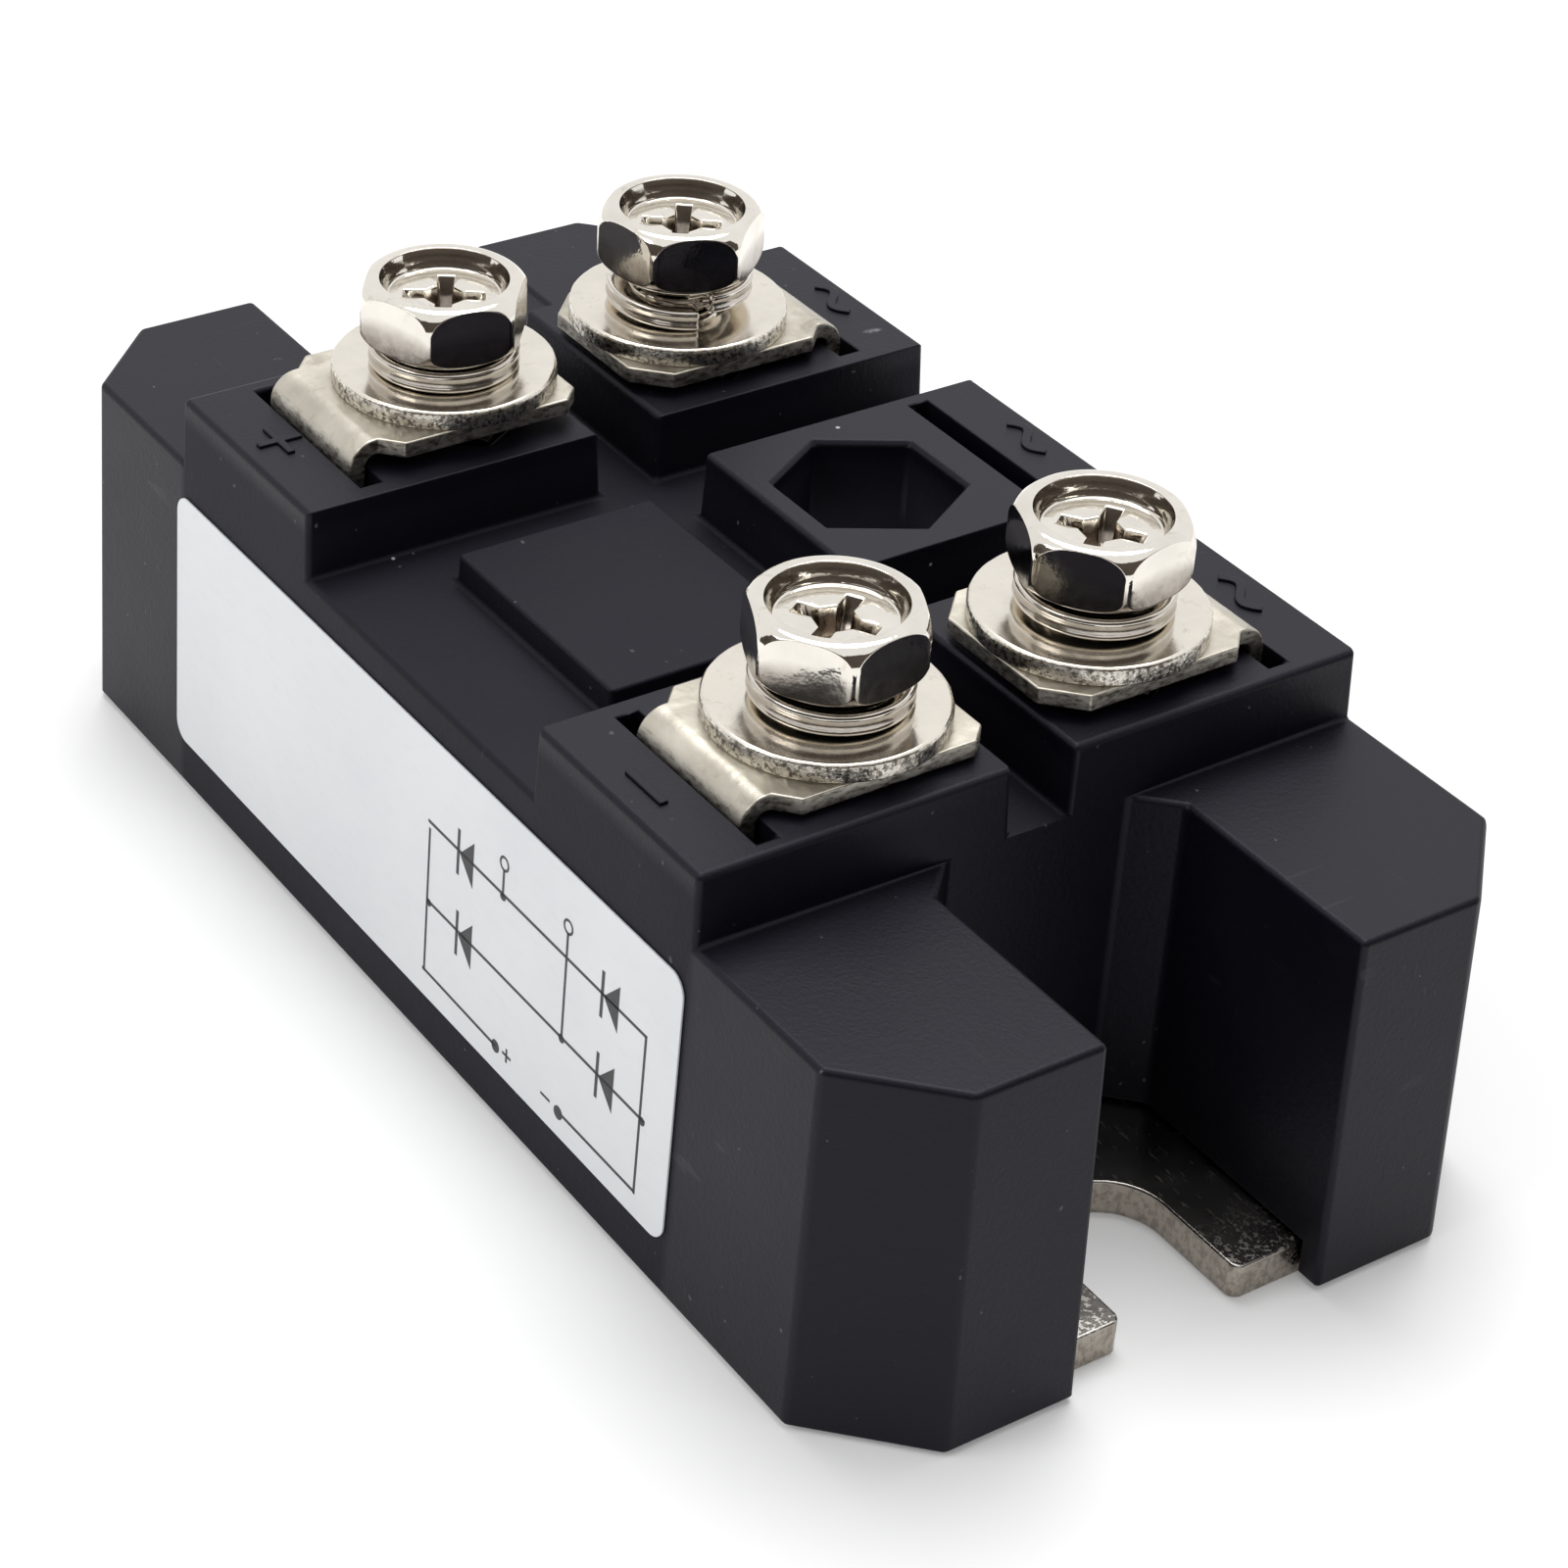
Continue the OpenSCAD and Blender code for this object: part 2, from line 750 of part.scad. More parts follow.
housing();
base_plate();
seal_bead();
label();
terminal_strip(PLUS);  // terminal_plus
terminal_strip(MINUS);  // terminal_minus
terminal_strip(AC_LEFT);  // terminal_ac_left
terminal_strip(AC_RIGHT);  // terminal_ac_right
terminal_screws();
spring_washers();
flat_washers();
captive_nuts();
back_copper();
ceramic();
pad_plus();
pad_minus();
pad_ac(-1);  // pad_ac_left
pad_ac(1);  // pad_ac_right
die(0);  // die_1
die(1);  // die_2
die(2);  // die_3
die(3);  // die_4
clip(0);  // clip_1
clip(1);  // clip_2
clip(2);  // clip_3
clip(3);  // clip_4
silicone_gel();
potting_resin();
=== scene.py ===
import math
import random

import bmesh
import bpy
from mathutils import Matrix, Vector


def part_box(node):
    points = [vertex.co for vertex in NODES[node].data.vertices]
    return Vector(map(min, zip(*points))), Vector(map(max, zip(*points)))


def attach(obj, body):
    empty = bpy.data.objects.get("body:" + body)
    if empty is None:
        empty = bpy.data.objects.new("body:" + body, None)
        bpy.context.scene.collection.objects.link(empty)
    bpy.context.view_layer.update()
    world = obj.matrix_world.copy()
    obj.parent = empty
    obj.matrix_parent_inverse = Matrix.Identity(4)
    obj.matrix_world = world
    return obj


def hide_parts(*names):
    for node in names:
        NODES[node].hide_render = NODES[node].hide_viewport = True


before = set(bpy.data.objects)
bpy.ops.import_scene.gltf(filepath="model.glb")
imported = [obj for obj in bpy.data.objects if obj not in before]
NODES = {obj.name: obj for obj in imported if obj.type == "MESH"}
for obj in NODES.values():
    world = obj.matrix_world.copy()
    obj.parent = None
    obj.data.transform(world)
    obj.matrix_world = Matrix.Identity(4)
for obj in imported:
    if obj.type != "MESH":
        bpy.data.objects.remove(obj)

MM = 0.001
FULL_TURN = 2 * math.pi
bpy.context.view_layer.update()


# ---------------------------------------------------------------- node helpers

class Graph:
    """Small wrapper that adds shader nodes to one material; noise scales are per metre."""

    def __init__(self, name):
        self.mat = bpy.data.materials.new(name)
        self.mat.use_nodes = True
        self.tree = self.mat.node_tree
        self.bsdf = self.tree.nodes["Principled BSDF"]
        self.coord = self.add("ShaderNodeTexCoord").outputs["Object"]

    def add(self, kind, **props):
        node = self.tree.nodes.new(kind)
        for key, value in props.items():
            setattr(node, key, value)
        return node

    def link(self, a, b):
        self.tree.links.new(a, b)

    def put(self, socket, value):
        if isinstance(value, bpy.types.NodeSocket):
            self.link(value, socket)
        elif isinstance(value, tuple) and len(value) == 3 and socket.type == "RGBA":
            socket.default_value = (*value, 1)
        else:
            socket.default_value = value

    def mapped(self, kind, location=(0, 0, 0), turn=(0, 0, 0), scale=(1, 1, 1)):
        """Coordinates moved by a Mapping node of one kind; the turn is in degrees."""
        node = self.add("ShaderNodeMapping", vector_type=kind)
        node.inputs["Location"].default_value = location
        node.inputs["Rotation"].default_value = [math.radians(a) for a in turn]
        node.inputs["Scale"].default_value = scale
        self.link(self.coord, node.inputs["Vector"])
        return node.outputs["Vector"]

    def noise(self, scale, detail=3.0, rough=0.5, vector=None, distortion=0.0):
        node = self.add("ShaderNodeTexNoise")
        self.link(vector or self.coord, node.inputs["Vector"])
        node.inputs["Scale"].default_value = scale
        node.inputs["Detail"].default_value = detail
        node.inputs["Roughness"].default_value = rough
        node.inputs["Distortion"].default_value = distortion
        return node.outputs["Fac"]

    def streaks(self, scale, turn=(0, 0, 0), detail=2, rough=0.5):
        """Noise with its own scale along each axis."""
        return self.noise(1.0, detail, rough, self.mapped("POINT", turn=turn, scale=scale))

    def cells(self, scale):
        """Distance to the middle of the nearest cell."""
        node = self.add("ShaderNodeTexVoronoi", feature="F1")
        self.link(self.coord, node.inputs["Vector"])
        node.inputs["Scale"].default_value = scale
        return node.outputs["Distance"]

    def ramp(self, fac, low, high, a=0.0, b=1.0):
        node = self.add("ShaderNodeMapRange")
        node.inputs["From Min"].default_value = low
        node.inputs["From Max"].default_value = high
        node.inputs["To Min"].default_value = a
        node.inputs["To Max"].default_value = b
        self.link(fac, node.inputs["Value"])
        return node.outputs["Result"]

    def math(self, op, a, b=0.0):
        node = self.add("ShaderNodeMath", operation=op)
        self.put(node.inputs[0], a)
        self.put(node.inputs[1], b)
        return node.outputs[0]

    def times(self, a, b):
        return self.math("MULTIPLY", a, b)

    def plus(self, a, b):
        return self.math("ADD", a, b)

    def mix(self, fac, a, b):
        node = self.add("ShaderNodeMix", data_type="RGBA")
        self.put(node.inputs["Factor"], fac)
        self.put(node.inputs[6], a)
        self.put(node.inputs[7], b)
        return node.outputs[2]

    def tones(self, cloud, a, b, high=0.68):
        """Two tones of one colour, laid by a cloud."""
        return self.mix(self.ramp(cloud, 0.35, high), a, b)

    def spread(self, cloud, low, high):
        """Value between two limits, laid by a cloud."""
        return self.ramp(cloud, 0.3, 0.7, low, high)

    def cover(self, color, mask, share, layer):
        """Colour with a share of another one over it where the mask is one."""
        return self.mix(self.times(mask, share), color, layer)

    def bump(self, height, strength, distance, normal=None):
        node = self.add("ShaderNodeBump")
        node.inputs["Strength"].default_value = strength
        node.inputs["Distance"].default_value = distance
        self.link(height, node.inputs["Height"])
        if normal:
            self.link(normal, node.inputs["Normal"])
        return node.outputs["Normal"]

    def axis(self, name, source=None):
        """One coordinate of the point, or of another vector."""
        split = self.add("ShaderNodeSeparateXYZ")
        self.link(source or self.coord, split.inputs[0])
        return split.outputs[name]

    def facing_up(self):
        return self.axis("Z", self.add("ShaderNodeNewGeometry").outputs["True Normal"])

    def finish(self, color, rough, metallic=0.0, normal=None, **sockets):
        self.put(self.bsdf.inputs["Base Color"], color)
        self.put(self.bsdf.inputs["Roughness"], rough)
        self.bsdf.inputs["Metallic"].default_value = metallic
        if normal:
            self.link(normal, self.bsdf.inputs["Normal"])
        for key, value in sockets.items():
            self.bsdf.inputs[key.replace("_", " ")].default_value = value
        return self.mat


# ---------------------------------------------------------------- materials

PLASTIC_TONES = (0.0018, 0.0016, 0.0042), (0.0030, 0.0027, 0.0060)
PLASTIC_SHEEN = (0.86, 0.85, 1.0, 1.0)
SPECK_COLOR = (0.16, 0.16, 0.165)
DUST_COLOR = (0.42, 0.42, 0.43)
SCRATCH_COLOR = (0.10, 0.10, 0.105)
SCUFF_COLOR = (0.30, 0.30, 0.31)
SCUFF_PLACE = (-13.6 * MM, 17.35 * MM, 23.7 * MM)       # beside the sign of the left AC terminal
SCUFF_SIZE = (0.72 * MM, 0.26 * MM, 1.0 * MM)           # half axes
SCUFF_TURN = 82
DECK_X = (0.0243, 0.0249)       # the matt deck between the towers ends here
DECK_Z = (0.0226, 0.0234)

# brownish colour of the painted shade and dark reflections on the screw heads and spring washers
PAINTED_SHADE_COLOR = (0.155, 0.122, 0.095)
NICKEL_STAIN = (0.40, 0.34, 0.27)
PIT_COLOR = (0.09, 0.075, 0.06)

STRIP_TONES = (0.45, 0.42, 0.355), (0.59, 0.555, 0.48)
STRIP_DRAG = (0.52, 0.49, 0.43)
STRIP_STAIN = (0.25, 0.215, 0.165)
# streaks of the sheared edges: the light tone is the edge's own, the dark tone a painted reflection
# of the dark housing
SHEARED_AND_REFLECTION_TONES = (0.58, 0.55, 0.495), (0.12, 0.10, 0.08)

PLATE_TONES = (0.36, 0.34, 0.315), (0.46, 0.44, 0.41)
PLATE_WORN = (0.80, 0.77, 0.71)
PLATE_SIDE_TONES = (0.40, 0.36, 0.31), (0.14, 0.118, 0.095)
PLATE_END_X = (0.0345, 0.0395)  # the wear of the plate grows from the first to the second

LABEL_TONES = (0.605, 0.620, 0.635), (0.645, 0.657, 0.670)
LABEL_FIBRE = (0.52, 0.53, 0.55)
INK_TONES = (0.016, 0.016, 0.018), (0.09, 0.09, 0.095)


def moulded_plastic():
    """Black moulding with grain, specks of dust, faint scratches, one scuff and a matt deck."""
    g = Graph("moulded_black")
    cloud = g.noise(70, 4, 0.6)
    color = g.tones(cloud, *PLASTIC_TONES, high=0.7)
    specks = g.ramp(g.noise(1500, 1, 0.5), 0.775, 0.80)
    color = g.cover(color, specks, 0.35, SPECK_COLOR)
    dust = g.ramp(g.cells(330), 0.050, 0.032)
    rare = g.ramp(g.noise(260, 1, 0.5), 0.57, 0.61)
    color = g.mix(g.times(dust, rare), color, DUST_COLOR)

    lengthwise = g.ramp(g.streaks((160, 2600, 700), (0, 0, 24)), 0.70, 0.735)
    crosswise = g.ramp(g.streaks((2300, 120, 600), (0, 0, -37)), 0.71, 0.745)
    patch = g.ramp(g.noise(55, 2, 0.5), 0.52, 0.62)
    scratches = g.times(g.math("MAXIMUM", lengthwise, crosswise), patch)
    color = g.cover(color, scratches, 0.10, SCRATCH_COLOR)

    reach = g.add("ShaderNodeVectorMath", operation="LENGTH")
    g.link(g.mapped("TEXTURE", SCUFF_PLACE, (0, 0, SCUFF_TURN), SCUFF_SIZE), reach.inputs[0])
    inside_scuff = g.ramp(reach.outputs["Value"], 1.0, 0.45)
    rubbed = g.times(inside_scuff, g.ramp(g.noise(3200, 3, 0.6), 0.36, 0.60))
    color = g.cover(color, rubbed, 0.55, SCUFF_COLOR)

    between = g.ramp(g.math("ABSOLUTE", g.axis("X")), *DECK_X, 1.0, 0.0)
    deck = g.times(g.ramp(g.axis("Z"), *DECK_Z, 1.0, 0.0), between)
    rough = g.plus(g.spread(cloud, 0.43, 0.50), g.times(scratches, -0.03))
    rough = g.plus(rough, g.times(deck, 0.16))

    normal = g.bump(g.noise(5200, 2, 0.6), 0.24, 0.06 * MM)
    normal = g.bump(g.cells(2600), 0.11, 0.05 * MM, normal)
    normal = g.bump(g.noise(180, 3, 0.5), 0.05, 0.4 * MM, normal)
    return g.finish(color, rough, 0.0, normal, Specular_IOR_Level=0.24, Specular_Tint=PLASTIC_SHEEN)


def nickel(name, tint, rough_low, rough_high, wave=0.10, speckle=0.0):
    """Plated steel, darkened in a brownish colour where a point attribute paints shade and dark
    reflections on it; speckle pits its sides.
    """
    g = Graph(name)
    cloud = g.noise(420, 3, 0.6)
    color = g.tones(cloud, tint, tuple(c * 0.90 for c in tint))
    stain = g.ramp(g.noise(900, 4, 0.65, distortion=0.6), 0.60, 0.72)
    color = g.cover(color, stain, 0.30, NICKEL_STAIN)
    # painted shade and dark reflections: a point attribute darkens the colour toward a brownish tone
    painted_shade = g.add("ShaderNodeAttribute", attribute_name="painted_shade").outputs["Fac"]
    uneven = g.spread(g.noise(1500, 3, 0.6), 0.70, 1.0)
    color = g.mix(g.times(painted_shade, uneven), color, PAINTED_SHADE_COLOR)
    rough = g.plus(g.spread(cloud, rough_low, rough_high), g.times(painted_shade, 0.12))
    normal = g.bump(g.noise(900, 3, 0.55), wave, 0.12 * MM)
    normal = g.bump(g.noise(5200, 2, 0.5), 0.06, 0.03 * MM, normal)
    if speckle:
        side = g.ramp(g.math("ABSOLUTE", g.facing_up()), 0.35, 0.75, 1.0, 0.0)
        pit = g.times(g.ramp(g.noise(3600, 3, 0.7), 0.48, 0.59), side)
        color = g.cover(color, pit, speckle, PIT_COLOR)
        normal = g.bump(g.times(g.noise(2600, 3, 0.7), side), 0.55, 0.12 * MM, normal)
        rough = g.plus(rough, g.times(side, 0.14))
    return g.finish(color, rough, 1.0, normal)


def strip_metal():
    """Plated strip of the tabs: satin faces with stains, rough sheared edges in light and dark
    streaks, the dark tone a painted reflection of the dark housing.
    """
    g = Graph("plated_brass")
    cloud = g.noise(260, 4, 0.6)
    color = g.tones(cloud, *STRIP_TONES)
    drag = g.streaks((3200, 420, 420), detail=3, rough=0.6)
    color = g.mix(g.ramp(drag, 0.60, 0.72, 0.0, 0.35), color, STRIP_DRAG)
    stain = g.ramp(g.noise(700, 4, 0.65, distortion=0.8), 0.57, 0.70)
    color = g.cover(color, stain, 0.45, STRIP_STAIN)
    # sheared-edge streaks on the sides, partly a painted reflection of the dark housing
    sheared = g.streaks((1500, 1500, 3800), detail=3, rough=0.7)
    edge_and_reflection_color = g.mix(g.ramp(sheared, 0.42, 0.66), *SHEARED_AND_REFLECTION_TONES)
    color = g.mix(g.ramp(g.facing_up(), 0.2, 0.6), edge_and_reflection_color, color)
    rough = g.plus(g.spread(cloud, 0.29, 0.41), g.ramp(g.facing_up(), 0.2, 0.6, 0.10, 0.0))
    normal = g.bump(g.noise(1100, 4, 0.6), 0.22, 0.12 * MM)
    normal = g.bump(g.noise(260, 3, 0.6, distortion=0.4), 0.12, 0.5 * MM, normal)
    normal = g.bump(drag, 0.06, 0.05 * MM, normal)
    return g.finish(color, rough, 1.0, normal)


def plate_metal():
    """Plated copper of the base plate: drawn top, flecks of wear at its ends, rubbed sides."""
    g = Graph("plated_copper")
    cloud = g.noise(160, 4, 0.6)
    color = g.tones(cloud, *PLATE_TONES)
    drag = g.ramp(g.streaks((900, 4200, 900), (0, 0, 35)), 0.64, 0.70)
    worn = g.ramp(g.math("ABSOLUTE", g.axis("X")), *PLATE_END_X)
    fleck = g.times(g.ramp(g.noise(4200, 2, 0.6), 0.55, 0.60), worn)
    scratch = g.math("MAXIMUM", g.times(drag, 0.35), fleck)
    color = g.cover(color, scratch, 0.8, PLATE_WORN)
    rub = g.ramp(g.streaks((2600, 2600, 1900), detail=3, rough=0.65), 0.44, 0.60)
    side_color = g.mix(g.times(rub, 0.5), *PLATE_SIDE_TONES)
    color = g.mix(g.ramp(g.facing_up(), 0.2, 0.6), side_color, color)
    rough = g.plus(g.spread(cloud, 0.20, 0.30), g.times(scratch, 0.28))
    normal = g.bump(g.noise(1300, 4, 0.6), 0.12, 0.10 * MM)
    normal = g.bump(scratch, 0.06, 0.04 * MM, normal)
    return g.finish(color, rough, 1.0, normal)


def label_film():
    """Silvery film with a faint slanting fibre."""
    g = Graph("label_foil")
    color = g.tones(g.noise(90, 3, 0.55), *LABEL_TONES, high=0.7)
    fibre = g.streaks((900, 900, 2600), (0, 24, 0))
    color = g.mix(g.ramp(fibre, 0.55, 0.75, 0.0, 0.12), color, LABEL_FIBRE)
    normal = g.bump(g.noise(2400, 2, 0.5), 0.05, 0.03 * MM)
    normal = g.bump(g.noise(130, 2, 0.5), 0.03, 0.3 * MM, normal)
    return g.finish(color, g.spread(fibre, 0.34, 0.44), 0.0, normal, Specular_IOR_Level=0.5)


def printed_ink():
    """Dark print, a little worn."""
    g = Graph("label_ink")
    wear = g.noise(4200, 3, 0.6)
    color = g.mix(g.ramp(wear, 0.50, 0.72, 0.0, 0.35), *INK_TONES)
    return g.finish(color, g.spread(wear, 0.40, 0.55), 0.0, g.bump(wear, 0.08, 0.02 * MM))


def plain_detail(name, a, b, scale, rough, metallic=0.0):
    """Finish for the sealed inner pieces: two tones, worn roughness and a light relief."""
    g = Graph(name)
    cloud = g.noise(scale, 4, 0.6)
    color = g.tones(cloud, a, b)
    normal = g.bump(g.noise(scale * 6, 3, 0.55), 0.12, 0.08 * MM)
    return g.finish(color, g.spread(cloud, rough * 0.85, rough * 1.15), metallic, normal)


PLASTIC = moulded_plastic()
BRIGHT = nickel("plated_steel", (0.82, 0.78, 0.71), 0.04, 0.085, 0.16)
WASHER = nickel("washer_steel", (0.80, 0.755, 0.675), 0.13, 0.20, 0.08, 0.85)
SPRING = nickel("spring_steel", (0.80, 0.755, 0.69), 0.08, 0.16, 0.14)
STRIP = strip_metal()
PLATE = plate_metal()
FILM = label_film()
INK = printed_ink()
COPPER = plain_detail("bare_copper", (0.70, 0.36, 0.22), (0.58, 0.28, 0.17), 500, 0.34, 1.0)
CERAMIC = plain_detail("alumina", (0.80, 0.80, 0.77), (0.72, 0.72, 0.69), 400, 0.45)
SILICON = plain_detail("silicon", (0.10, 0.10, 0.12), (0.16, 0.16, 0.18), 700, 0.25, 0.6)
GEL = plain_detail("clear_gel", (0.72, 0.74, 0.76), (0.64, 0.66, 0.68), 120, 0.15)
RESIN = plain_detail("potting_black", (0.015, 0.014, 0.014), (0.028, 0.026, 0.026), 200, 0.5)
SEAL = plain_detail("seal_silicone", (0.030, 0.030, 0.032), (0.045, 0.045, 0.048), 300, 0.6)


# ---------------------------------------------------------------- mesh helpers

MERGE_DISTANCE = 2e-6
FLAT_ANGLE = math.radians(0.6)      # CAD facets that meet flatter than this are one face
SHARP_ANGLE = math.radians(24)      # edges sharper than this are rounded


def add_object(name, data):
    obj = bpy.data.objects.new(name, data)
    bpy.context.scene.collection.objects.link(obj)
    return obj


def piece(name, mesh, material, slot, *replaced):
    """Visible piece on the root body that stands in for the CAD nodes named last."""
    obj = add_object(name, mesh)
    mesh.materials.clear()
    mesh.materials.append(material)
    for poly in mesh.polygons:
        poly.use_smooth = True
    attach(obj, "root")
    if replaced:
        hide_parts(*replaced)
    return obj


def bevel(obj, width, segments, **settings):
    modifier = obj.modifiers.new("round", "BEVEL")
    modifier.width = width
    modifier.segments = segments
    modifier.harden_normals = True
    for key, value in settings.items():
        setattr(modifier, key, value)


def weight_normals(obj, name, weight, thresh=0.01):
    modifier = obj.modifiers.new(name, "WEIGHTED_NORMAL")
    modifier.weight = weight
    modifier.thresh = thresh


def mesh_from(bm, name, outward=True):
    """Mesh of a bmesh, which is freed; its faces are turned outward first."""
    if outward:
        bmesh.ops.recalc_face_normals(bm, faces=bm.faces)
    mesh = bpy.data.meshes.new(name)
    bm.to_mesh(mesh)
    bm.free()
    return mesh


def ring_faces(bm, a, b):
    """Quads between two closed rings of vertices."""
    for i in range(len(a)):
        j = (i + 1) % len(a)
        bm.faces.new((a[i], a[j], b[j], b[i]))


def prism(bm, low, high):
    """Closed prism between two rings of points."""
    low = [bm.verts.new(p) for p in low]
    high = [bm.verts.new(p) for p in high]
    bm.faces.new(low[::-1])
    bm.faces.new(high)
    ring_faces(bm, low, high)


def grid_mesh(name, rings, cap_start=None, cap_end=None):
    """Mesh from closed rings of points with the same count; a cap is a single closing point."""
    bm = bmesh.new()
    rows = [[bm.verts.new(p) for p in ring] for ring in rings]
    n = len(rows[0])
    for a, b in zip(rows, rows[1:]):
        ring_faces(bm, a, b)
    for row, tip, flip in ((rows[0], cap_start, True), (rows[-1], cap_end, False)):
        if tip is None:
            continue
        v = bm.verts.new(tip)
        for i in range(n):
            j = (i + 1) % n
            bm.faces.new((row[j], row[i], v) if flip else (row[i], row[j], v))
    return mesh_from(bm, name)


def welded(node):
    """Bmesh of a CAD node with its doubled vertices merged."""
    bm = bmesh.new()
    bm.from_mesh(NODES[node].data)
    bmesh.ops.remove_doubles(bm, verts=bm.verts, dist=MERGE_DISTANCE)
    return bm


def rounded(node, name, material, slot, width, segments):
    """Copy of a CAD node with its sharp edges rounded; width is a number or a rule for one edge."""
    bm = welded(node)
    bmesh.ops.dissolve_limit(bm, angle_limit=FLAT_ANGLE, use_dissolve_boundaries=False,
                             verts=bm.verts, edges=bm.edges)
    layer = bm.edges.layers.float.new("bevel_weight_edge")
    widest = 0.0
    for e in bm.edges:
        if len(e.link_faces) == 2 and e.calc_face_angle(0) > SHARP_ANGLE:
            e[layer] = width(e) if callable(width) else width
            widest = max(widest, width(e) if callable(width) else width)
    for e in bm.edges:
        e[layer] = e[layer] / widest
    obj = piece(name, mesh_from(bm, name, outward=False), material, slot, node)
    bevel(obj, widest, segments, limit_method="WEIGHT", use_clamp_overlap=False,
          miter_outer="MITER_SHARP")
    weight_normals(obj, "flat", 100, 0.0001)


def joined(name, meshes, material, slot, *replaced):
    """One piece from several meshes."""
    bm = bmesh.new()
    for mesh in meshes:
        bm.from_mesh(mesh)
    obj = piece(name, mesh_from(bm, name, outward=False), material, slot, *replaced)
    weight_normals(obj, "normals", 50)


def islands(node):
    """Vertex positions of each separate solid in a CAD node."""
    bm = welded(node)
    seen, found = set(), []
    for start in bm.verts:
        if start.index in seen:
            continue
        stack, group = [start], []
        seen.add(start.index)
        while stack:
            v = stack.pop()
            group.append(v.co.copy())
            for e in v.link_edges:
                o = e.other_vert(v)
                if o.index not in seen:
                    seen.add(o.index)
                    stack.append(o)
        found.append(group)
    bm.free()
    return found


def box_of(points):
    lo = Vector([min(p[i] for p in points) for i in range(3)])
    hi = Vector([max(p[i] for p in points) for i in range(3)])
    return lo, hi


def add_painted_shade(mesh, rule):
    """Painted shade of each point, from 0 to 1, for the nickel material."""
    layer = mesh.attributes.new("painted_shade", "FLOAT", "POINT")
    for v in mesh.vertices:
        layer.data[v.index].value = rule(v.co)


def soft_min(a, b, k):
    h = max(k - abs(a - b), 0.0) / k
    return min(a, b) - h * h * k * 0.25


def smooth(x):
    x = max(0.0, min(1.0, x))
    return x * x * (3 - 2 * x)


def fillet(corners, steps=3):
    """Line through corners (x, z, radius), each rounded by its radius."""
    points = [corner[:2] for corner in corners]
    out = [points[0]]
    for i in range(1, len(points) - 1):
        radius = corners[i][2]
        if not radius:
            out.append(points[i])
            continue
        p, q, s = (Vector(points[k]) for k in (i - 1, i, i + 1))
        cut = min(radius, 0.45 * (p - q).length, 0.45 * (s - q).length)
        a = q + (p - q).normalized() * cut
        b = q + (s - q).normalized() * cut
        for k in range(steps + 1):
            t = k / steps
            out.append(tuple(a * (1 - t) ** 2 + q * 2 * t * (1 - t) + b * t ** 2))
    out.append(points[-1])
    return out


# ---------------------------------------------------------------- housing, plate and strips

HOUSING_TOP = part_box("housing")[1].z
SHOULDER = 20.2 * MM                    # height of the deck between the towers
CORE = 24.75 * MM                       # half length of the block of towers
WELL_X = CORE - 1.2 * MM                # slots, pockets and the hidden wells lie within these
WELL_Y = 18.2 * MM
WELL_TOP = SHOULDER - 0.5 * MM
SLOT_Y = (13.9 * MM, 15.6 * MM)
SLOT_FOOT = 12 * MM
POCKET_Y = (2.2 * MM, 12.9 * MM)
POCKET_FOOT = SHOULDER + 2.4 * MM
FOOT_TOP = 3 * MM
PAD_X = 8 * MM
PAD_Z = (SHOULDER + 1.2 * MM, SHOULDER + 2.2 * MM)
POCKET_RADIUS = 0.09 * MM
FOOT_RADIUS = 0.15 * MM
PAD_RADIUS = 0.20 * MM
INNER_RADIUS = 0.26 * MM
OUTER_RADIUS = 0.33 * MM


def housing_edge(e):
    """Radius of one edge of the moulding: soft outside, small at pockets and slots."""
    a, b = (v.co for v in e.verts)
    mid = (a + b) / 2
    x, y, z = abs(mid.x), abs(mid.y), mid.z
    if x < WELL_X and y < WELL_Y:
        if z < WELL_TOP:
            return 0.0
        in_slot = SLOT_Y[0] < y < SLOT_Y[1] and z > SLOT_FOOT
        in_pocket = POCKET_Y[0] < y < POCKET_Y[1] and z > POCKET_FOOT
        if in_slot or in_pocket:
            return POCKET_RADIUS
    if z < FOOT_TOP:
        return FOOT_RADIUS
    if PAD_Z[0] < z < PAD_Z[1] and x < PAD_X:
        return PAD_RADIUS
    return OUTER_RADIUS if e.is_convex else INNER_RADIUS


rounded("housing", "housing_shell", PLASTIC, "moulded_black", housing_edge, 3)
rounded("base_plate", "base_plate_body", PLATE, "plated_copper", 0.14 * MM, 2)
for strip in ("terminal_plus", "terminal_minus", "terminal_ac_left", "terminal_ac_right"):
    rounded(strip, strip + "_strip", STRIP, "plated_brass", 0.11 * MM, 2)
rounded("label", "label_sheet", FILM, "label_foil", 0.03 * MM, 2)


# ---------------------------------------------------------------- raised signs on the towers

SIGN_SINK = 0.1 * MM            # how far the signs reach into the tower
SIGN_HEIGHT = 0.17 * MM
SIGN_RADIUS = 0.09 * MM
WAVE_STROKE = 0.5               # the sizes of the waves and the outlines are in millimetres
WAVE_HALF = 1.7
WAVE_RISE = 0.55
WAVE_STEPS = 22
MINUS = [(16.16, -17.5), (19.17, -17.5), (19.17, -17.0), (16.16, -17.0)]
PLUS = [(-19.6, -17.0), (-18.4, -17.0), (-18.4, -18.0), (-17.93, -18.0), (-17.93, -17.0),
        (-16.75, -17.0), (-16.75, -16.55), (-17.93, -16.55), (-17.93, -15.5), (-18.4, -15.5),
        (-18.4, -16.55), (-19.6, -16.55)]


def raised(name, outlines):
    """Low prisms on the tower tops, one for each outline, with soft edges."""
    bm = bmesh.new()
    for outline in outlines:
        prism(bm, *([(x * MM, y * MM, z) for x, y in outline]
                    for z in (HOUSING_TOP - SIGN_SINK, HOUSING_TOP + SIGN_HEIGHT)))
    obj = piece(name, mesh_from(bm, name), PLASTIC, "moulded_black")
    bevel(obj, SIGN_RADIUS, 2, limit_method="ANGLE", angle_limit=math.radians(50))


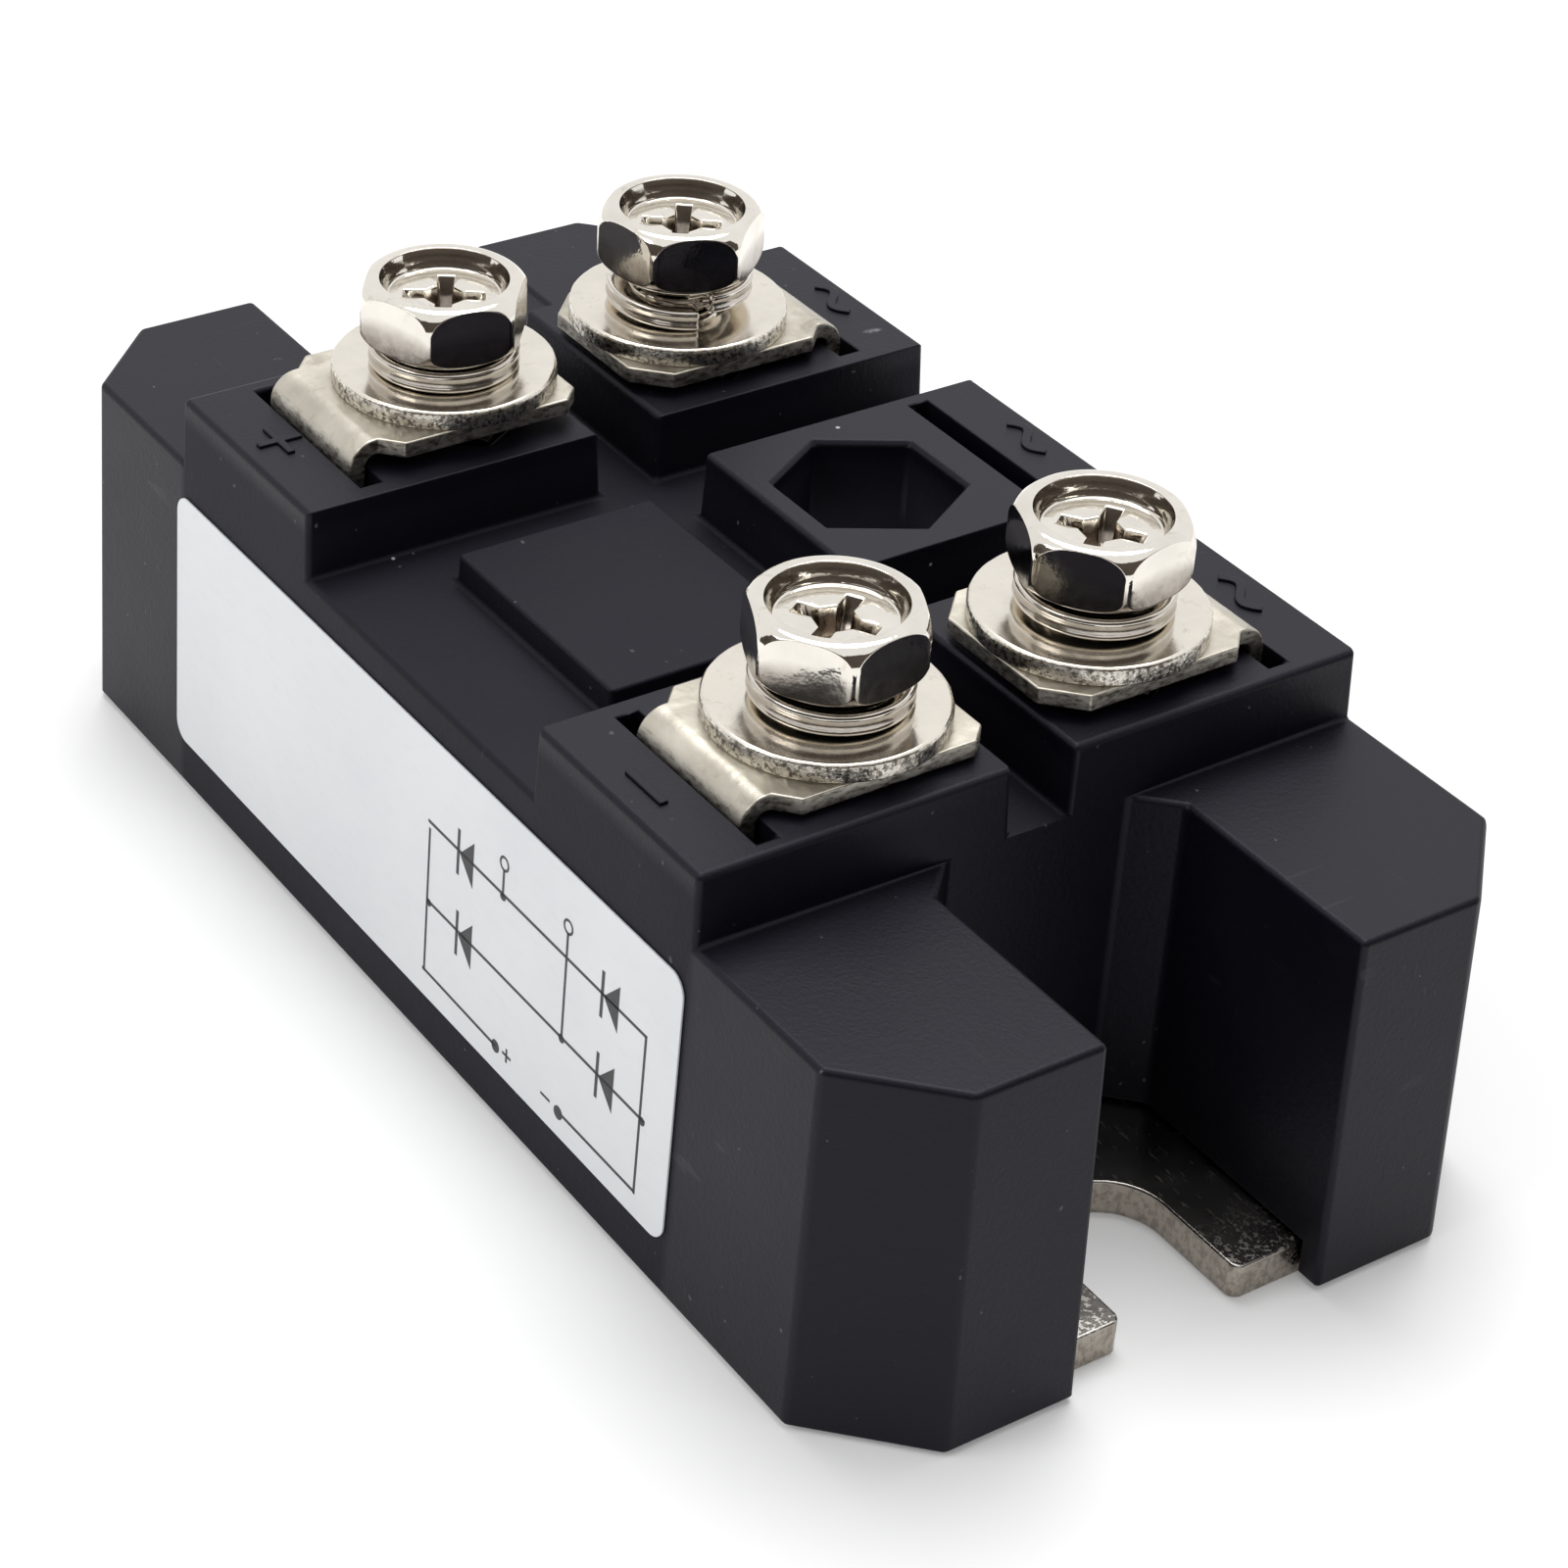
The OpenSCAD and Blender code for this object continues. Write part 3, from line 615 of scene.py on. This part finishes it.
def wave(xc, yc):
    """Outline of a sine sign."""
    upper, lower = [], []
    for i in range(WAVE_STEPS + 1):
        t = -1 + 2 * i / WAVE_STEPS
        x, y = xc + WAVE_HALF * t, yc - WAVE_RISE * math.sin(math.pi * t)
        slope = -WAVE_RISE * math.pi * math.cos(math.pi * t) / WAVE_HALF
        n = Vector((-slope, 1)).normalized() * WAVE_STROKE / 2
        upper.append((x + n.x, y + n.y))
        lower.append((x - n.x, y - n.y))
    return lower + upper[::-1]


raised("sign_minus", [MINUS])
raised("sign_plus", [PLUS])
raised("signs_ac", [wave(0.15, 17.5), wave(17.8, 17.3), wave(-17.65, 17.5)])


# ---------------------------------------------------------------- screws and washers

HEAD_FLAT = 4.0 * MM            # half width across the flats
HEX_SOFT = 0.06 * MM            # rounding of the corners between the flats
TURNED_R = 4.55 * MM            # the turned top and foot of the head end here
TURNED_SOFT = 0.05 * MM
RIM_R = 3.7 * MM                # flat rim round the recess, and the curve outside it
ROUND_H = 1.25 * MM
BASE_R = 3.78 * MM              # curve at the foot of the head
LOW_H = 0.85 * MM
FACE_R = 3.6 * MM               # bearing face under the head
FACE_H = 0.3 * MM
RECESS_R = 3.35 * MM            # recess, at its top and at its floor
FLOOR_R = 2.95 * MM
RECESS_H = 1.0 * MM
RIPPLE = 0.032 * MM             # turned rings on the wall of the recess
# height share of each turned ring on the recess wall, and how dark it is painted as a reflection band
WALL_MARKS = ((0.22, 0.05), (0.36, 0.55), (0.50, 0.0), (0.64, 0.60), (0.80, 0.0), (0.92, 1.0))
FLAT_SHARES = (0.35, 0.6)       # extra rings on the flats, for the painted reflection
CROSS_TURN = {(-1, -1): 57, (1, -1): 31, (-1, 1): 53, (1, 1): 35}
CROSS_TOP = (2.12 * MM, 0.42 * MM, 1.02 * MM)     # half length, half width, inner corner
CROSS_LIPS = ((0.07 * MM, 0.0), (0.02 * MM, 0.02 * MM), (0.0, 0.07 * MM))   # wider by, depth
CROSS_STEPS = ((1.75 * MM, 0.37 * MM, 0.96 * MM, 0.75 * MM),      # as CROSS_TOP, then depth
               (1.38 * MM, 0.31 * MM, 0.86 * MM, 1.45 * MM),
               (1.15 * MM, 0.24 * MM, 0.72 * MM, 1.58 * MM))
CROSS_DEPTH = 1.75 * MM
HEAD_SECTORS = 144
PITCH = 0.8 * MM
THREAD_DEPTH = 0.42 * MM
SHANK_SECTORS = 48
WASHER_SECTORS = 144
SPRING_STEPS = 110
SPRING_SOFT = 0.24 * MM
SPRING_DIPS = ((0.035 * MM, -0.6), (0.07 * MM, -0.2), (0.07 * MM, 0.2), (0.035 * MM, 0.6))


def cross_point(angle, size):
    """Point of a cross outline that belongs to a direction of the topmost outline."""
    l0, w0, c0 = CROSS_TOP
    l, w, c = size
    quarter = math.floor(angle / (math.pi / 2))
    phi = angle - quarter * math.pi / 2
    swap = phi > math.pi / 4
    if swap:
        phi = math.pi / 2 - phi
    if phi <= math.atan2(w0, l0):
        x, y = l, l0 * math.tan(phi) / w0 * w
    elif phi <= math.atan2(w0, c0):
        x, y = c + (w0 / math.tan(phi) - c0) / (l0 - c0) * (l - c), w
    else:
        s0, s = c0 + w0, c + w
        f = (s0 / (1 + math.tan(phi)) - s0 / 2) / (c0 - s0 / 2)
        x = s / 2 + f * (c - s / 2)
        y = s - x
    if swap:
        x, y = y, x
    v = Vector((x, y))
    v.rotate(Matrix.Rotation(quarter * math.pi / 2, 2))
    return v


def head_angles(turn, cross_turn):
    """Directions round a screw head, with every corner of hexagon and cross among them."""
    l0, w0, c0 = CROSS_TOP
    special = []
    for q in range(4):
        base = cross_turn + q * math.pi / 2
        for a in (math.atan2(w0, l0), math.atan2(w0, c0), math.radians(18)):
            special += [base + a, base - a]
    for q in range(6):
        base = turn + q * math.pi / 3
        special += [base + math.radians(a) for a in (-5, -3, -1.5, 0, 1.5, 3, 5)]
    kept = []
    for a in sorted(a % FULL_TURN for a in special):
        if not kept or a - kept[-1] > math.radians(0.3):
            kept.append(a)

    def clear_of_kept(a):
        return min(min(abs(a - s), FULL_TURN - abs(a - s)) for s in kept) >= math.radians(0.9)

    even = [i * FULL_TURN / HEAD_SECTORS for i in range(HEAD_SECTORS)]
    return sorted(kept + [a for a in even if clear_of_kept(a)])


def hex_radius(angle, turn):
    """Distance from the axis to the side of the head in one direction."""
    phi = (angle - turn) % (math.pi / 3)
    r1, r2, r3 = (HEAD_FLAT / math.cos(phi + a) for a in (-math.pi / 6, math.pi / 6, -math.pi / 2))
    flats = soft_min(soft_min(r1, r2, HEX_SOFT), r3, HEX_SOFT)
    return soft_min(flats, TURNED_R, TURNED_SOFT)


def turned_curve(r, inner, count):
    """Steps of a turned curve from the inner radius out to r: radius, and fall as a share."""
    reach = TURNED_R - inner
    last = math.asin(min(1.0, (r - inner) / reach))
    angles = [last * k / count for k in range(1, count + 1)]
    return [(inner + reach * math.sin(a), 1 - math.cos(a)) for a in angles]


def head_line(r, floor, top, seat, shank_r):
    """Section of the head in one direction, from the recess floor over the rim to the shank."""
    corners = [(FLOOR_R - 0.5 * MM, floor, 0), (FLOOR_R, floor, 0.12 * MM)]
    for k, (share, _) in enumerate(WALL_MARKS):
        x = FLOOR_R + (RECESS_R - FLOOR_R) * share + (-RIPPLE, RIPPLE)[k % 2]
        corners.append((x, floor + RECESS_H * share, 0))
    corners += [(RECESS_R, top, 0.05 * MM), (RIM_R, top, 0.05 * MM)]
    crown = [(x, top - ROUND_H * fall, 0) for x, fall in turned_curve(r, RIM_R, 8)]
    foot = [(x, seat + FACE_H + LOW_H * fall, 0) for x, fall in turned_curve(r, BASE_R, 5)][::-1]
    upper, lower = crown[-1][1], foot[0][1]
    crown[-1] = (*crown[-1][:2], 0.05 * MM)
    foot[0] = (*foot[0][:2], 0.05 * MM)
    corners += crown + [(r, upper - 0.10 * MM, 0)]
    corners += [(r, upper + (lower - upper) * share, 0) for share in FLAT_SHARES]
    corners += [(r, lower + 0.10 * MM, 0)] + foot
    corners += [(BASE_R, seat + FACE_H, 0.04 * MM), (FACE_R, seat + FACE_H, 0.03 * MM),
                (FACE_R, seat, 0.07 * MM), (shank_r - 0.2 * MM, seat, 0)]
    return fillet(corners)


def cross_rings(axis, floor, angles, cross_turn):
    """Rings of the cross, from the recess floor down."""
    sizes = [(*(size + wider for size in CROSS_TOP), depth) for wider, depth in CROSS_LIPS]
    rings = []
    for *size, depth in sizes + list(CROSS_STEPS):
        ring = []
        for t in angles:
            v = cross_point((t - cross_turn) % FULL_TURN, size)
            v.rotate(Matrix.Rotation(cross_turn, 2))
            ring.append(Vector((axis.x + v.x, axis.y + v.y, floor - depth)))
        rings.append(ring)
    return rings


def head_painted_shade(p, axis, floor, top, seat):
    """Painted shade and dark reflection of one point of a screw head."""
    out = (p.xy - axis.xy).length
    share = (p.z - floor) / RECESS_H
    if out < FLOOR_R - 0.2 * MM:                # in the cross, deeper is darker: painted shade
        return smooth((floor - 0.01 * MM - p.z) / (0.35 * MM))
    if out < RECESS_R - 0.01 * MM:              # on the rings of the recess wall: painted dark reflection bands
        height, dark = min(WALL_MARKS, key=lambda mark: abs(mark[0] - share))
        return dark if abs(height - share) < 0.01 else 0.0
    if out > FACE_R + 0.02 * MM:                # outside, darker toward the foot: painted reflection of the dark housing
        height = (p.z - seat) / (top - seat)
        return 0.95 * smooth((0.56 - height) / 0.2)
    return 0.0


def shank_mesh(axis, shank_r, foot, seat, name):
    """Threaded shank, a little tapered at its end and plain under the head."""
    rings = []
    z = foot
    while z < seat + 0.1 * MM + 1e-9:
        ring = []
        run_out = smooth((z - foot) / (0.6 * MM)) * smooth((seat - 0.5 * MM - z) / (0.8 * MM))
        taper = 0.35 * MM * (1 - min(1.0, (z - foot) / (0.4 * MM)))
        for i in range(SHANK_SECTORS):
            t = FULL_TURN * i / SHANK_SECTORS
            phase = ((z - foot) / PITCH - i / SHANK_SECTORS) % 1.0
            cut = THREAD_DEPTH * max(0.0, 1 - abs(phase - 0.5) / 0.44) * run_out
            r = shank_r - cut - taper
            ring.append(Vector((axis.x + r * math.cos(t), axis.y + r * math.sin(t), z)))
        rings.append(ring)
        z += PITCH / 10
    return grid_mesh(name, rings, cap_start=Vector((axis.x, axis.y, foot)),
                     cap_end=Vector((axis.x, axis.y, rings[-1][0].z)))


def screw_mesh(points, name):
    """Head with round recess and cross, and threaded shank, on the axis of the CAD screw."""
    lo, hi = box_of(points)
    a, b = box_of([p for p in points if p.z < lo.z + 1e-6])
    axis = (a + b) / 2
    shank_r = (b.x - a.x) / 2
    reach = max((p.xy - axis.xy).length for p in points)
    corners = [p.xy - axis.xy for p in points if (p.xy - axis.xy).length > reach - 2e-6]
    turn = math.atan2(sum(math.sin(6 * math.atan2(c.y, c.x)) for c in corners),
                      sum(math.cos(6 * math.atan2(c.y, c.x)) for c in corners)) / 6
    seat = min(p.z for p in points if (p.xy - axis.xy).length > shank_r + 0.5 * MM)
    top = hi.z
    floor = top - RECESS_H
    side = (1 if axis.x > 0 else -1, 1 if axis.y > 0 else -1)
    cross_turn = math.radians(CROSS_TURN[side])
    angles = head_angles(turn, cross_turn)
    lines = [head_line(hex_radius(t, turn), floor, top, seat, shank_r) for t in angles]
    rings = [[Vector((axis.x + math.cos(t) * r, axis.y + math.sin(t) * r, z))
              for t, (r, z) in zip(angles, ring)] for ring in zip(*lines)]
    head = grid_mesh(name, cross_rings(axis, floor, angles, cross_turn)[::-1] + rings,
                     cap_start=Vector((axis.x, axis.y, floor - CROSS_DEPTH)),
                     cap_end=Vector((axis.x, axis.y, seat)))
    add_painted_shade(head, lambda p: head_painted_shade(p, axis, floor, top, seat))
    return head, shank_mesh(axis, shank_r, lo.z, seat, name + "_shank")


def washer_mesh(points, name):
    """Punched washer: rounded upper rim from the punch, sharper lower one."""
    lo, hi = box_of(points)
    centre = (lo + hi) / 2
    outer = (hi.x - lo.x) / 2
    inner = min((p.xy - centre.xy).length for p in points)
    line = fillet([(inner + 0.6 * MM, lo.z, 0), (inner, lo.z, 0.10 * MM), (inner, hi.z, 0.18 * MM),
                   (outer, hi.z, 0.26 * MM), (outer, lo.z, 0.10 * MM),
                   (inner + 0.6 * MM, lo.z, 0)], 4)[:-1]
    rng = random.Random(name)
    shift = [rng.uniform(0, 6.28) for _ in range(2)]
    rings = []
    for r, z in line:
        ring = []
        for i in range(WASHER_SECTORS):
            t = FULL_TURN * i / WASHER_SECTORS
            ragged = 0.006 * MM * (math.sin(17 * t + shift[0]) + math.sin(31 * t + shift[1]))
            ragged *= smooth((r - outer + 0.4 * MM) / (0.4 * MM))
            reach = r + ragged - 0.012 * MM
            ring.append(Vector((centre.x + reach * math.cos(t), centre.y + reach * math.sin(t), z)))
        rings.append(ring)
    return grid_mesh(name, rings + [rings[0]])


def spring_mesh(points, name):
    """Split ring from the high end to the low end of the CAD spring washer."""
    lo, hi = box_of(points)
    high = max(points, key=lambda p: p.z)
    low = min(points, key=lambda p: p.z)
    twin = [p for p in points if (p.xy - high.xy).length < 1e-6 and p.z < high.z - 1e-5]
    height = high.z - twin[0].z
    outer = max((hi.x - lo.x), (hi.y - lo.y)) / 2
    centre = Vector(((lo.x + hi.x) / 2, (lo.y + hi.y) / 2))
    inner = min((p.xy - centre).length for p in points)
    rise = (hi.z - lo.z) - height
    first = math.atan2(high.y - centre.y, high.x - centre.x)
    last = math.atan2(low.y - centre.y, low.x - centre.x)
    sweep = (last - first) % FULL_TURN
    half_w, half_h = (outer - inner) / 2, height / 2
    section = []
    for sx, sz, start in ((1, 1, 0), (-1, 1, 90), (-1, -1, 180), (1, -1, 270)):
        for k in range(4):
            a = math.radians(start + 30 * k)
            section.append((sx * (half_w - SPRING_SOFT) + SPRING_SOFT * math.cos(a),
                            sz * (half_h - SPRING_SOFT) + SPRING_SOFT * math.sin(a)))
    section += [(half_w - dip, share * (half_h - SPRING_SOFT)) for dip, share in SPRING_DIPS]
    rings = []
    for i in range(SPRING_STEPS + 1):
        f = i / SPRING_STEPS
        t = first + sweep * f
        z = lo.z + height / 2 + rise * (1 - f)
        rings.append([Vector((centre.x + (inner + half_w + x) * math.cos(t),
                              centre.y + (inner + half_w + x) * math.sin(t), z + dz))
                      for x, dz in section])
    ends = [sum(ring, Vector()) / len(ring) for ring in (rings[0], rings[-1])]
    mesh = grid_mesh(name, rings, cap_start=ends[0], cap_end=ends[1])

    # painted shade in the groove along the outer face of the spring washer
    def painted_groove_shade(p):
        return 0.55 if outer - 0.10 * MM < (p.xy - centre).length < outer - 0.03 * MM else 0.0

    add_painted_shade(mesh, painted_groove_shade)
    return mesh


heads = [m for k, pts in enumerate(islands("terminal_screws"))
         for m in screw_mesh(pts, "screw_%d" % k)]
joined("terminal_screw_set", heads, BRIGHT, "plated_steel", "terminal_screws")
joined("flat_washer_set", [washer_mesh(pts, "washer_%d" % k)
                           for k, pts in enumerate(islands("flat_washers"))],
       WASHER, "plated_steel", "flat_washers")
joined("spring_washer_set", [spring_mesh(pts, "spring_%d" % k)
                             for k, pts in enumerate(islands("spring_washers"))],
       SPRING, "spring_steel", "spring_washers")


# ---------------------------------------------------------------- print on the label

# Places on the label are in millimetres: x along the part, s up the face from its foot.

INK_SINK = -0.004 * MM
INK_HEIGHT = 0.012 * MM
DISC_SECTORS = 28
LINE = 0.18
SIGN_LINE = 0.15
DIODE_BAR = 0.24
RING_LINE = 0.14
RING_RADIUS = 0.36
ACROSS = Vector((1, 0, 0))


def label_frame():
    """Centre of the label's outer face, its normal and its upward direction."""
    mesh = NODES["label"].data
    front = max(mesh.polygons, key=lambda p: -p.normal.y * p.area)
    normal = front.normal.normalized()
    depth = max(v.co.dot(normal) for v in mesh.vertices)
    face = [v.co for v in mesh.vertices if v.co.dot(normal) > depth - 1e-6]
    lo, hi = box_of(face)
    return (lo + hi) / 2, normal, normal.cross(ACROSS)


def bar(x0, s0, x1, s1, width=LINE):
    a, b = Vector((x0, s0)), Vector((x1, s1))
    along = (b - a).normalized() * width / 2
    side = Vector((-along.y, along.x))
    a, b = a - along, b + along
    return [a - side, b - side, b + side, a + side]


def disc(x, s, r, aspect=1.0):
    return [Vector((x + r * math.cos(FULL_TURN * i / DISC_SECTORS),
                    s + r * aspect * math.sin(FULL_TURN * i / DISC_SECTORS)))
            for i in range(DISC_SECTORS)]


def print_on_label(name, shapes, rings):
    """Thin prisms of ink on the face of the label; rings are the middles of the open circles."""
    centre, normal, up = label_frame()
    foot = Vector((0, centre.y, centre.z)) - up * (centre.z / up.z)

    def put(p, lift):
        return foot + ACROSS * (p[0] * MM) + up * (p[1] * MM) + normal * lift

    bm = bmesh.new()
    for shape in shapes:
        prism(bm, *([put(p, lift) for p in shape] for lift in (INK_SINK, INK_HEIGHT)))
    inner, outer = RING_RADIUS - RING_LINE / 2, RING_RADIUS + RING_LINE / 2
    for x, s in rings:
        loops = [[bm.verts.new(put(p, lift)) for p in disc(x, s, r)]
                 for r, lift in ((inner, INK_SINK), (inner, INK_HEIGHT),
                                 (outer, INK_HEIGHT), (outer, INK_SINK))]
        for a, b in zip(loops, loops[1:] + loops[:1]):
            ring_faces(bm, a, b)
    mesh = mesh_from(bm, name)
    piece(name, mesh, INK, "label_foil")
    for poly in mesh.polygons:
        poly.use_smooth = False


shapes = [bar(2.14, 13.55, 21.8, 13.55), bar(2.23, 8.9, 22.2, 8.9),
          bar(2.23, 13.1, 2.23, 4.68), bar(21.86, 13.55, 21.86, 4.5),
          bar(2.14, 4.68, 9.2, 4.56), bar(15.4, 4.54, 21.86, 4.54),
          bar(9.14, 14.9, 9.14, 13.5), bar(14.94, 14.9, 14.96, 8.9),
          disc(9.23, 4.54, 0.36), disc(15.1, 4.5, 0.38),
          disc(9.16, 13.4, 0.26, aspect=0.8), disc(14.96, 8.84, 0.25),
          disc(2.41, 8.85, 0.22), disc(22.05, 8.82, 0.24),
          bar(9.95, 4.63, 10.6, 4.63, SIGN_LINE), bar(10.27, 4.3, 10.27, 4.96, SIGN_LINE),
          bar(13.55, 4.63, 14.25, 4.63, SIGN_LINE)]
for x, s in ((4.95, 13.45), (5.14, 8.75), (18.09, 13.5), (18.12, 8.85)):    # the diodes
    shapes.append(bar(x, s - 1.2, x, s + 1.2, DIODE_BAR))
    shapes.append([Vector((x + 0.14, s)), Vector((x + 1.42, s - 1.32)), Vector((x + 1.42, s + 1.32))])
print_on_label("label_print", shapes, [(9.14, 15.29), (14.93, 15.29)])


# ---------------------------------------------------------------- finishes of the carried-over nodes

NODE_FINISH = {
    "captive_nuts": BRIGHT, "seal_bead": SEAL, "back_copper": COPPER, "ceramic": CERAMIC,
    "pad_plus": COPPER, "pad_minus": COPPER, "pad_ac_left": COPPER, "pad_ac_right": COPPER,
    "die_1": SILICON, "die_2": SILICON, "die_3": SILICON, "die_4": SILICON,
    "clip_1": COPPER, "clip_2": COPPER, "clip_3": COPPER, "clip_4": COPPER,
    "silicone_gel": GEL, "potting_resin": RESIN}
for node, material in NODE_FINISH.items():
    data = NODES[node].data
    data.materials.clear()
    data.materials.append(material)


# ---------------------------------------------------------------- studio

WHITE = (1, 1, 1, 1)
WORLD_LIGHT = 0.70              # strength of the white world for diffuse light
FLOOR_GREY = (0.80, 0.80, 0.80, 1)
FLOOR_GLOW = 0.10
FLOOR_HALF = 2.5
SCREEN_COLOR = (0.055, 0.043, 0.033, 1)
SCREEN_RADIUS = 0.24
SCREEN_HALF_ANGLE = 85
SCREEN_RISE = (3, 43)           # lower and upper edge, in degrees above the part
SCREEN_STEPS = 16
CAMERA_PLACE = Vector((137.40, -97.95, 122.73)) * MM
CAMERA_TURN = (55.01, 33.68, 3.13)      # azimuth, elevation and roll in degrees
CAMERA_LENS = 89.3
CAMERA_SHIFT = (0.05, -0.025)
LAMP_TARGET = Vector((0, 0, 0.01))


def seen_directly(tree):
    """One for the rays of the camera, of reflections and of transmission."""
    path = tree.nodes.new("ShaderNodeLightPath")
    total = path.outputs["Is Camera Ray"]
    for name in ("Is Glossy Ray", "Is Transmission Ray"):
        node = tree.nodes.new("ShaderNodeMath")
        node.operation = "MAXIMUM"
        tree.links.new(total, node.inputs[0])
        tree.links.new(path.outputs[name], node.inputs[1])
        total = node.outputs[0]
    return total


def strength_where_seen(tree, otherwise, seen):
    """Strength that depends on whether the ray shows its surface directly."""
    strength = tree.nodes.new("ShaderNodeMapRange")
    strength.inputs["To Min"].default_value = otherwise
    strength.inputs["To Max"].default_value = seen
    tree.links.new(seen_directly(tree), strength.inputs["Value"])
    return strength.outputs["Result"]


def studio_world():
    world = bpy.data.worlds.new("studio")
    bpy.context.scene.world = world
    world.use_nodes = True
    tree = world.node_tree
    background = tree.nodes["Background"]
    background.inputs["Color"].default_value = WHITE
    tree.links.new(strength_where_seen(tree, WORLD_LIGHT, 1.0), background.inputs["Strength"])


def studio_floor():
    mesh = bpy.data.meshes.new("floor")
    half = FLOOR_HALF
    mesh.from_pydata([(-half, -half, 0), (half, -half, 0), (half, half, 0), (-half, half, 0)],
                     [], [(0, 1, 2, 3)])
    floor = add_object("floor", mesh)
    mat = bpy.data.materials.new("floor_white")
    mat.use_nodes = True
    tree = mat.node_tree
    tree.nodes.clear()
    out = tree.nodes.new("ShaderNodeOutputMaterial")
    diffuse = tree.nodes.new("ShaderNodeBsdfDiffuse")
    diffuse.inputs["Color"].default_value = FLOOR_GREY
    glow = tree.nodes.new("ShaderNodeEmission")
    glow.inputs["Color"].default_value = WHITE
    tree.links.new(strength_where_seen(tree, 0.0, FLOOR_GLOW), glow.inputs["Strength"])
    add = tree.nodes.new("ShaderNodeAddShader")
    tree.links.new(diffuse.outputs[0], add.inputs[0])
    tree.links.new(glow.outputs[0], add.inputs[1])
    tree.links.new(add.outputs[0], out.inputs["Surface"])
    mesh.materials.append(mat)


def area_light(name, place, size, energy):
    data = bpy.data.lights.new(name, "AREA")
    data.shape = "DISK"
    data.size = size
    data.energy = energy
    lamp = add_object(name, data)
    lamp.location = place
    lamp.rotation_euler = (LAMP_TARGET - Vector(place)).to_track_quat("-Z", "Y").to_euler()


def camera():
    az, el, roll = (math.radians(a) for a in CAMERA_TURN)
    back = Vector((math.sin(az) * math.cos(el), -math.cos(az) * math.cos(el), math.sin(el)))
    right = (-back).cross(Vector((0, 0, 1))).normalized()
    up = right.cross(-back)
    rolled_right = right * math.cos(roll) + up * math.sin(roll)
    rolled_up = up * math.cos(roll) - right * math.sin(roll)
    data = bpy.data.cameras.new("view")
    data.sensor_width = 36
    data.lens = CAMERA_LENS
    data.shift_x, data.shift_y = CAMERA_SHIFT
    data.clip_start = 0.01
    cam = add_object("view", data)
    turn = Matrix((rolled_right, rolled_up, back)).transposed().to_4x4()
    cam.matrix_world = Matrix.Translation(CAMERA_PLACE) @ turn
    bpy.context.scene.camera = cam


def dark_screen(facing):
    """Curved unlit screen on the camera's side, as the room behind a photographer is.

    Only reflections show it, so it draws the dark bands in the polished screw heads.
    """
    middle = math.atan2(facing.y, facing.x)
    half = math.radians(SCREEN_HALF_ANGLE)
    turns = [middle + half * (2 * i / SCREEN_STEPS - 1) for i in range(SCREEN_STEPS + 1)]
    points = [(SCREEN_RADIUS * math.cos(t), SCREEN_RADIUS * math.sin(t),
               SCREEN_RADIUS * math.tan(math.radians(rise)))
              for rise in SCREEN_RISE for t in turns]
    mesh = bpy.data.meshes.new("screen")
    n = len(turns)
    mesh.from_pydata(points, [], [(i, i + 1, n + i + 1, n + i) for i in range(SCREEN_STEPS)])
    screen = add_object("screen", mesh)
    mat = bpy.data.materials.new("screen_dark")
    mat.use_nodes = True
    shader = mat.node_tree.nodes["Principled BSDF"]
    shader.inputs["Base Color"].default_value = SCREEN_COLOR
    shader.inputs["Roughness"].default_value = 0.9
    mesh.materials.append(mat)
    for ray in ("camera", "shadow", "transmission", "diffuse"):
        setattr(screen, "visible_" + ray, False)


studio_world()
studio_floor()
area_light("key", (-0.38, 0.30, 1.22), 0.95, 11.5)
area_light("fill", (-0.12, -0.65, 0.50), 0.5, 2.1)
camera()
dark_screen(CAMERA_PLACE)
bpy.context.scene.view_settings.view_transform = "Standard"
